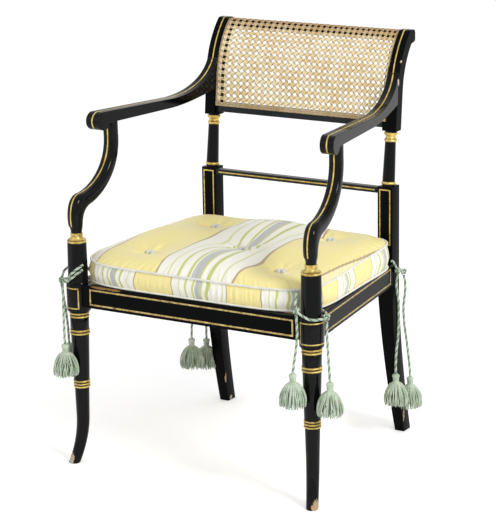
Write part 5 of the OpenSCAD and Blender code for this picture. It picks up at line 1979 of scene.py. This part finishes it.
@dataclass
class Ties:
    """Twisted cords round the legs, whose ends hang down to tassels."""

    yarn: Shader
    cord_d: float = 5.6
    ply_d: float = 2.65
    twist: float = 15.0
    knot_d: float = 15
    knot_h: float = 14
    head_d: float = 15
    head_h: float = 18
    skirt_d: float = 50
    skirt_h: float = 47.5
    yarn_r: float = 1.15
    ties: list[Tie] = field(default_factory=list)

    def cord(self, name: str, path: Array) -> Piece:
        """Return a cord of three plies twisted together along a line in millimetres."""
        fine = np.array([(p[0], p[1] - MID_Y, p[2]) for p in path]) * MM
        far = runs(fine)
        count = max(8, int(far[-1] / (self.twist * MM) * 10))
        s = np.linspace(0, far[-1], count + 1)
        line = np.stack([np.interp(s, far, fine[:, k]) for k in range(3)], axis=1)
        along = np.gradient(line, axis=0)
        along /= np.linalg.norm(along, axis=1)[:, None]
        side = np.cross(along[0], (0.31, 0.77, 0.55))
        frames = []
        for t in along:
            side = side - t * np.dot(side, t)
            side /= np.linalg.norm(side)
            frames.append((side.copy(), np.cross(t, side)))
        parts = []
        off = (self.cord_d - self.ply_d) / 2 * MM
        for ply in range(3):
            rings = []
            for i, (p, (u, v)) in enumerate(zip(line, frames)):
                a = 2 * pi * (s[i] / (self.twist * MM) + ply / 3)
                centre = p + off * (cos(a) * u + sin(a) * v)
                lay = along[i] + 2 * pi * off / (self.twist * MM) * (
                    -sin(a) * u + cos(a) * v)
                rings.append(disc(Vector(centre), self.ply_d / 2 * MM, 7, Vector(lay), Vector(u)))
            parts.append(Bench.loft("ply", rings, angle=80, marks=[0.95 * (ply == 0)] * 7))
        return Bench.join(name, parts)

    def knot(self, place: Array, turn: float) -> Piece:
        """Return an overhand knot as a short cord that turns over itself."""
        loop = []
        for i in range(29):
            a = 2 * pi * i / 28 * 1.65
            r = (self.knot_d - self.cord_d) / 2 * (0.8 + 0.25 * cos(1.5 * a))
            loop.append((place[0] + r * cos(a + turn), place[1] + r * sin(a + turn),
                         place[2] + (self.knot_h - self.cord_d) / 2 * sin(1.5 * a + 0.6)))
        return self.cord("knot", np.array(loop))

    def tassel(self) -> Piece:
        """Return a tassel hung from the origin: a bound head and a full skirt of yarn."""
        r, h = self.head_d / 2, self.head_h
        profile = [(0.0, 0.0), (0.55, 0), (0.86, -0.04), (1, -0.12), (1.02, -0.3), (0.9, -0.42),
                   (0.72, -0.5), (0.66, -0.62), (0.7, -0.74), (0.8, -0.86), (0.6, -1), (0, -1)]
        rings = [disc(Vector((0, 0, z * h * MM)), max(x * r, 0.01) * MM, 28) for x, z in profile]
        parts = [Bench.loft("head", rings, angle=70, marks=[0.0] * 28)]
        for z in (-0.5, -0.6, -0.7):
            wrap = [disc(Vector((cos(a) * 0.74 * r, sin(a) * 0.74 * r,
                                 (z + 0.012 * sin(a)) * h)) * MM, 1.05 * MM, 6,
                         Vector((-sin(a), cos(a), 0)), Vector((0, 0, 1)))
                    for a in (2 * pi * i / 24 for i in range(24))]
            parts.append(Bench.loft("wrap", wrap, closed=True, angle=80))
        rng = np.random.default_rng(7)
        # The core inside the skirt is coloured all in the shade colour, as painted shade
        core = [(0.5, -1.0), (0.8, -1.15), (1.0, -1.6), (1.1, -2.4), (1.0, -3.2), (0, -3.2)]
        rings = [disc(Vector((0, 0, z * h * MM)), max(x * r * 1.3, 0.01) * MM, 20) for x, z in core]
        parts.append(Bench.loft("core", rings, angle=70, marks=[1.0] * 20))
        # The inner layers of yarn are darkened by their mark, as painted shade deep in the skirt
        layers = ((30, 0.60, 0.96, 0.6), (42, 0.82, 1.0, 0.3), (56, 1.0, 0.98, 0))
        for count, wide, long, dark in layers:
            for k in range(count):
                a = 2 * pi * (k + rng.uniform(-0.35, 0.35)) / count
                w = self.skirt_d / 2 * wide * rng.uniform(0.9, 1.06)
                tall = self.skirt_h * long * rng.uniform(0.93, 1.04)
                curl, swing = rng.uniform(-0.22, 0.22), rng.uniform(-0.1, 0.1)
                line = []
                for t in np.linspace(0, 1, 8):
                    rr = lerp(r * 0.62, w, sin(pi / 2 * min(t * 1.25, 1)) ** 0.62)
                    rr -= 1.5 * max(0, t - 0.85) / 0.15
                    aa = a + curl * t + swing * sin(5 * t)
                    line.append(Vector((rr * cos(aa), rr * sin(aa),
                                        -h * 0.9 - t * (tall + h * 0.1))))
                tone = max(0.0, dark + rng.uniform(-0.25, 0.25))
                parts.append(tube("yarn", line, self.yarn_r, 5, (0.3, 0.2, 1), angle=80, tip=0.75,
                                  marks=[tone] * 5))
        return Bench.join("tassel", parts)

    def build(self) -> None:
        """Build the strands, the knots, the hanging ends and the tassels."""
        model = self.tassel()
        LOG.info("tassel: %d faces", len(model.data.polygons))
        number = 0
        for tie in self.ties:
            parts = [self.cord("strand", tie.path(route)) for route in tie.strands]
            parts += [self.knot(np.add(k, tie.anchor), 0.7 * i) for i, k in enumerate(tie.knots)]
            knotted = Bench.join(f"tie_{tie.corner}_knotted", parts)
            fit(self.yarn, knotted, "sage", f"tie_{tie.corner}")
            for letter, route in zip("ab", tie.ends):
                path = tie.path(route)
                turn = Matrix.Rotation(0.9 * number, 4, "Z")
                tassel = Bench.copy(model, f"tassel_{tie.corner}_{letter}_yarn",
                                    Matrix.Translation(at(*path[-1])) @ turn)
                fit(self.yarn, tassel, "sage", f"tassel_{tie.corner}_{letter}")
                end = self.cord(f"tie_end_{tie.corner}_{letter}_twisted", path)
                fit(self.yarn, end, "sage", f"tie_end_{tie.corner}_{letter}")
                number += 1
        bpy.data.objects.remove(model)


def chair_ties() -> list[Tie]:
    """Return the four ties, with the routes of their cords."""
    front, rear, seat, deep = LINES.half_front, LINES.half_rear, LINES.seat_h, LINES.leg_depth
    return [
        Tie("front_left", (front, 0, seat),
            ((-16, -30, 15), (33, 0, 1)),
            (((-16, -30, 14), (-8, -26, 7.5), (0, -24.8, 3), (9, -23, 0), (17, -17.8, -1.5),
              (22.8, -9.5, -1.5), (28, -3, -1), (33, 0, 0)),
             ((33, 0, 5), (27, 10, 5), (20, 17.5, 6), (11, 22.5, 8), (0, 24.5, 10),
              (-11, 22.3, 12), (-20, 15, 14)),
             ((-16, -30, 18), (-20, -26, 27), (-22, -21, 37), (-23, -18, 47))),
            (((-16, -31, 8), (-14.5, -31.5, -10), (-13, -33, -29), (-14, -34, -48),
              (-16, -35.5, -67), (-18.5, -37, -86), (-21, -37.5, -107)),
             ((33, 0, -6), (33.5, -1, -25), (35, -2, -44), (37, -3.5, -63), (39, -5, -82),
              (41, -6, -102), (42.5, -6.5, -124)))),
        Tie("front_right", (-front, 0, seat),
            ((-29, -16, 3),),
            (((22, -12, 40), (14, -20.8, 33), (4, -24.6, 24), (-6, -24, 15),
              (-15, -19.8, 9), (-23, -16, 7), (-29, -16, 6)),
             ((21, -12.5, 30), (13, -21, 23), (3, -24.8, 14), (-8, -23.8, 6),
              (-17, -18.8, 2), (-23, -16.5, 0), (-29, -16, -1)),
             ((18, 16, 21), (10, 22.4, 24), (0, 24.5, 27), (-11, 22.3, 29), (-20, 15, 29),
              (-26, 5, 27), (-30, -6, 20), (-30, -14, 9))),
            (((-26, -18, -4), (-24.5, -20, -24), (-22.5, -23, -44), (-20, -27, -64),
              (-17, -31, -84), (-14, -35, -104), (-11, -38, -123)),
             ((-32, -14, -4), (-33, -9, -24), (-33.5, -5, -43), (-34, 0, -62), (-35, 4, -81),
              (-36, 8, -100), (-36.5, 10, -119), (-37, 12, -138)))),
        Tie("rear_left", (rear, deep, seat),
            ((24, -4, -15), (25, 22, -24)),
            (((21, -26, 10), (21.5, -18, 5), (22, -11, -5), (24, -4, -12)),
             ((24, -4, -15), (23, 8, -19), (25, 22, -24)),
             ((25, 22, -23), (15, 22, -20), (0, 20.5, -11), (-12, 20.5, -1), (-17.5, 20, 4),
              (-19.5, 15, 6.5), (-20, 6, 7), (-20, -6, 8), (-21, -16, 9))),
            (((24, -4, -22), (21.5, -6, -41), (23, -5, -61), (26, -4, -81), (27, -5, -101),
              (27.5, -6, -121), (27.5, -8, -141), (27, -9, -161), (25.5, -12, -181),
              (25.5, -15, -201), (26, -17, -219), (27, -18, -235)),
             ((25, 22, -31), (29, 20, -46), (30, 18, -63), (27.5, 19, -81), (25, 20, -98),
              (24.5, 22, -116), (25.5, 23, -136), (28, 24, -156), (30.5, 25, -176),
              (32.5, 26, -196), (34.5, 27, -216), (36.5, 27, -234), (37.5, 27, -252)))),
        Tie("rear_right", (-rear, deep, seat),
            ((-25, -8, -11), (-25, 19, -19)),
            (((-21, -26, 10), (-21.5, -20, 5), (-23, -14, -3), (-25, -8, -8)),
             ((-25, -8, -11), (-23, 6, -15), (-25, 19, -19)),
             ((-25, 19, -18), (-15, 22, -17), (0, 20.5, -10), (12, 20.5, -1), (17.5, 20, 4),
              (19.5, 15, 6.5), (20, 6, 7), (20, -6, 8), (21, -16, 9))),
            (((-25, -8, -18), (-28, -10, -38), (-31, -12, -58), (-34, -15, -78), (-37, -17, -98),
              (-39.5, -19, -118), (-42, -21, -138), (-44, -23, -158), (-45.5, -24, -179),
              (-46.5, -25, -201), (-47, -26, -225)),
             ((-25, 19, -26), (-26, 19, -46), (-28, 19, -66), (-30, 20, -86), (-32, 20, -106),
              (-34, 21, -127), (-35.5, 21, -148), (-37, 22, -169), (-38, 22, -191),
              (-38.5, 22, -213), (-39, 22, -237))))]


# Studio


@dataclass
class Studio:
    """Camera, soft lamps, a white surround and a pale floor."""

    azimuth: float = 31.128
    elevation: float = 14.726
    roll: float = -0.942
    lens: float = 150.505
    eye: Place = (2231.8, -3478.3, 1538.3)
    surround: float = 0.72
    key: float = 56
    fill: float = 10
    floor_glow: float = 0.39
    aim: Place = (0, 0, 0.4)

    @staticmethod
    def stand(name: str, data: bpy.types.ID, place: Vector, turn: Matrix) -> Piece:
        """Put a camera or a lamp in its place and return it."""
        obj = bpy.data.objects.new(name, data)
        obj.matrix_world = Matrix.Translation(place) @ turn
        bpy.context.scene.collection.objects.link(obj)
        return obj

    def camera(self) -> None:
        """Place the camera at the photograph's viewing angle."""
        a, e, r = (radians(v) for v in (self.azimuth, self.elevation, self.roll))
        back = Vector((sin(a) * cos(e), -cos(a) * cos(e), sin(e)))
        right = Vector((cos(a), sin(a), 0))
        up = back.cross(right)
        right, up = (cos(r) * right + sin(r) * up,
                     cos(r) * up - sin(r) * right)
        data = bpy.data.cameras.new("camera")
        data.lens = self.lens
        data.sensor_width = 36
        data.sensor_fit = "AUTO"
        data.clip_end = 60
        turn = Matrix((right, up, back)).transposed().to_4x4()
        bpy.context.scene.camera = self.stand("camera", data, at(*self.eye), turn)

    def lamp(self, name: str, place: Place, size: float, power: float) -> None:
        """Add a square lamp that faces the chair, with place in metres."""
        data = bpy.data.lights.new(name, "AREA")
        data.shape = "SQUARE"
        data.size = size
        data.energy = power
        aim = Vector(self.aim) - Vector(place)
        self.stand(name, data, Vector(place), aim.to_track_quat("-Z", "Y").to_matrix().to_4x4())

    def world(self) -> None:
        """Surround the chair with white that the camera and reflections see at full strength."""
        world = bpy.data.worlds.new("surround")
        bpy.context.scene.world = world
        world.use_nodes = True
        tree = Tree(world.node_tree)
        back = tree.tree.nodes["Background"]
        back.inputs["Color"].default_value = (1, 1, 1, 1)
        level = tree.add("MapRange", {}, {"Value": tree.seen(), "To Min": self.surround,
                                          "To Max": 1})
        tree.feed(back.inputs["Strength"], level["Result"])

    def floor(self) -> None:
        """Lay a pale floor that reads white and keeps the chair's shadow."""
        Bench.clear()
        bpy.ops.mesh.primitive_plane_add(size=30)
        floor = bpy.context.object
        floor.name = "floor"
        s = Shader("Floor")
        pale = s.add("BsdfDiffuse", {}, {"Color": (0.88, 0.88, 0.885)})
        glow = s.add("Emission", {}, {"Color": (1, 1, 1), "Strength": s.seen() * self.floor_glow})
        total = s.add("AddShader", {}, {0: pale["BSDF"], 1: glow["Emission"]})
        s.feed(s.output.inputs["Surface"], total["Shader"])
        s.dress(floor)

    def build(self) -> None:
        """Set up the view, the lamps, the surround and the floor."""
        bpy.context.scene.view_settings.view_transform = "Standard"
        self.camera()
        self.world()
        self.floor()
        self.lamp("key", (2.8, -1.1, 2.2), 0.8, self.key)
        self.lamp("fill", (-2.4, -2.6, 1.8), 2.2, self.fill)


def dress_hidden(nodes: dict[str, Piece], wood: Shader, metal: Shader,
                 cane: Shader) -> None:
    """Give the CAD nodes that stay under the seat their finishes."""
    for name, shader in (("corner_blocks", wood), ("arm_dowels", wood), ("corner_screws", metal),
                         ("seat_cane_panel", cane)):
        mesh = nodes[name].data
        if not mesh.materials:
            mesh.materials.append(shader.material)
        for i in range(len(mesh.materials)):
            mesh.materials[i] = shader.material


def main() -> None:
    """Build the chair's looks around its frame."""
    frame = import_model()
    Studio().build()
    yarn = Yarn("Sage_yarn", "AFC3A6", "D3DECB", "46634F").make()
    Ties(yarn, ties=chair_ties()).build()
    pale, bone, ochre = "E9DCC0", "D9BE9A", "A8814A"
    worn = (((229.5, 439, 756), (5, 5, 9), pale), ((229.5, 451, 797), (4, 5, 4), pale),
            ((229.5, 466, 38), (5, 4, 17), pale), ((-205.5, 454, 53), (2.5, 3, 22), pale),
            ((-207, 478, 6), (4, 6, 6), pale), ((290, -22, 4), (13, 15, 20), bone),
            ((270, -34, 22), (5, 4, 10), bone), ((-281, -30, 9), (7, 12, 17), pale),
            ((-205, -18, 380), (26, 3, 4.2), ochre), ((-174, -18, 380), (24, 3, 3.6), ochre))
    lacquer = Lacquer(worn=worn).make()
    shined = Lacquer("Lacquer_rubbed", gloss=0.15, rough=0.03, haze=0.45, worn=worn).make()
    gilding = Gilding().make()
    cane = Cane().make()
    aged = Gilding("Gilding_aged", "E2CB7A", "A5823A", "2A1E0C", 0.53).make()
    FrontLeg(shined, aged).build()
    Arms(shined, gilding).build()
    RearStile(lacquer, shined, gilding).build()
    dulled = Gilding("Gilding_dulled", "D2BC7C", "A68648", "4A3A22", 0.5).make()
    SeatFrame(lacquer, dulled).build()
    # Lighter grey black for the mid and lower back rails: a painted reflection of the pale floor
    painted_sheen = Lacquer("Lacquer_painted_sheen", black="222628", gloss=0.12).make()
    BackRails(lacquer, painted_sheen, gilding).build()
    CaneBack(cane).build()
    thread = Yarn("Piping_silk", "E0E1DA", "F2F1E8", "B4B8B2", 1400).make()
    Cushion(Silk().make(), thread).build()
    dress_hidden(frame["nodes"], Wood().make(), Metal().make(), cane)


if __name__ == "__main__":
    logging.basicConfig(level=logging.INFO, format="%(name)s: %(message)s")
    main()
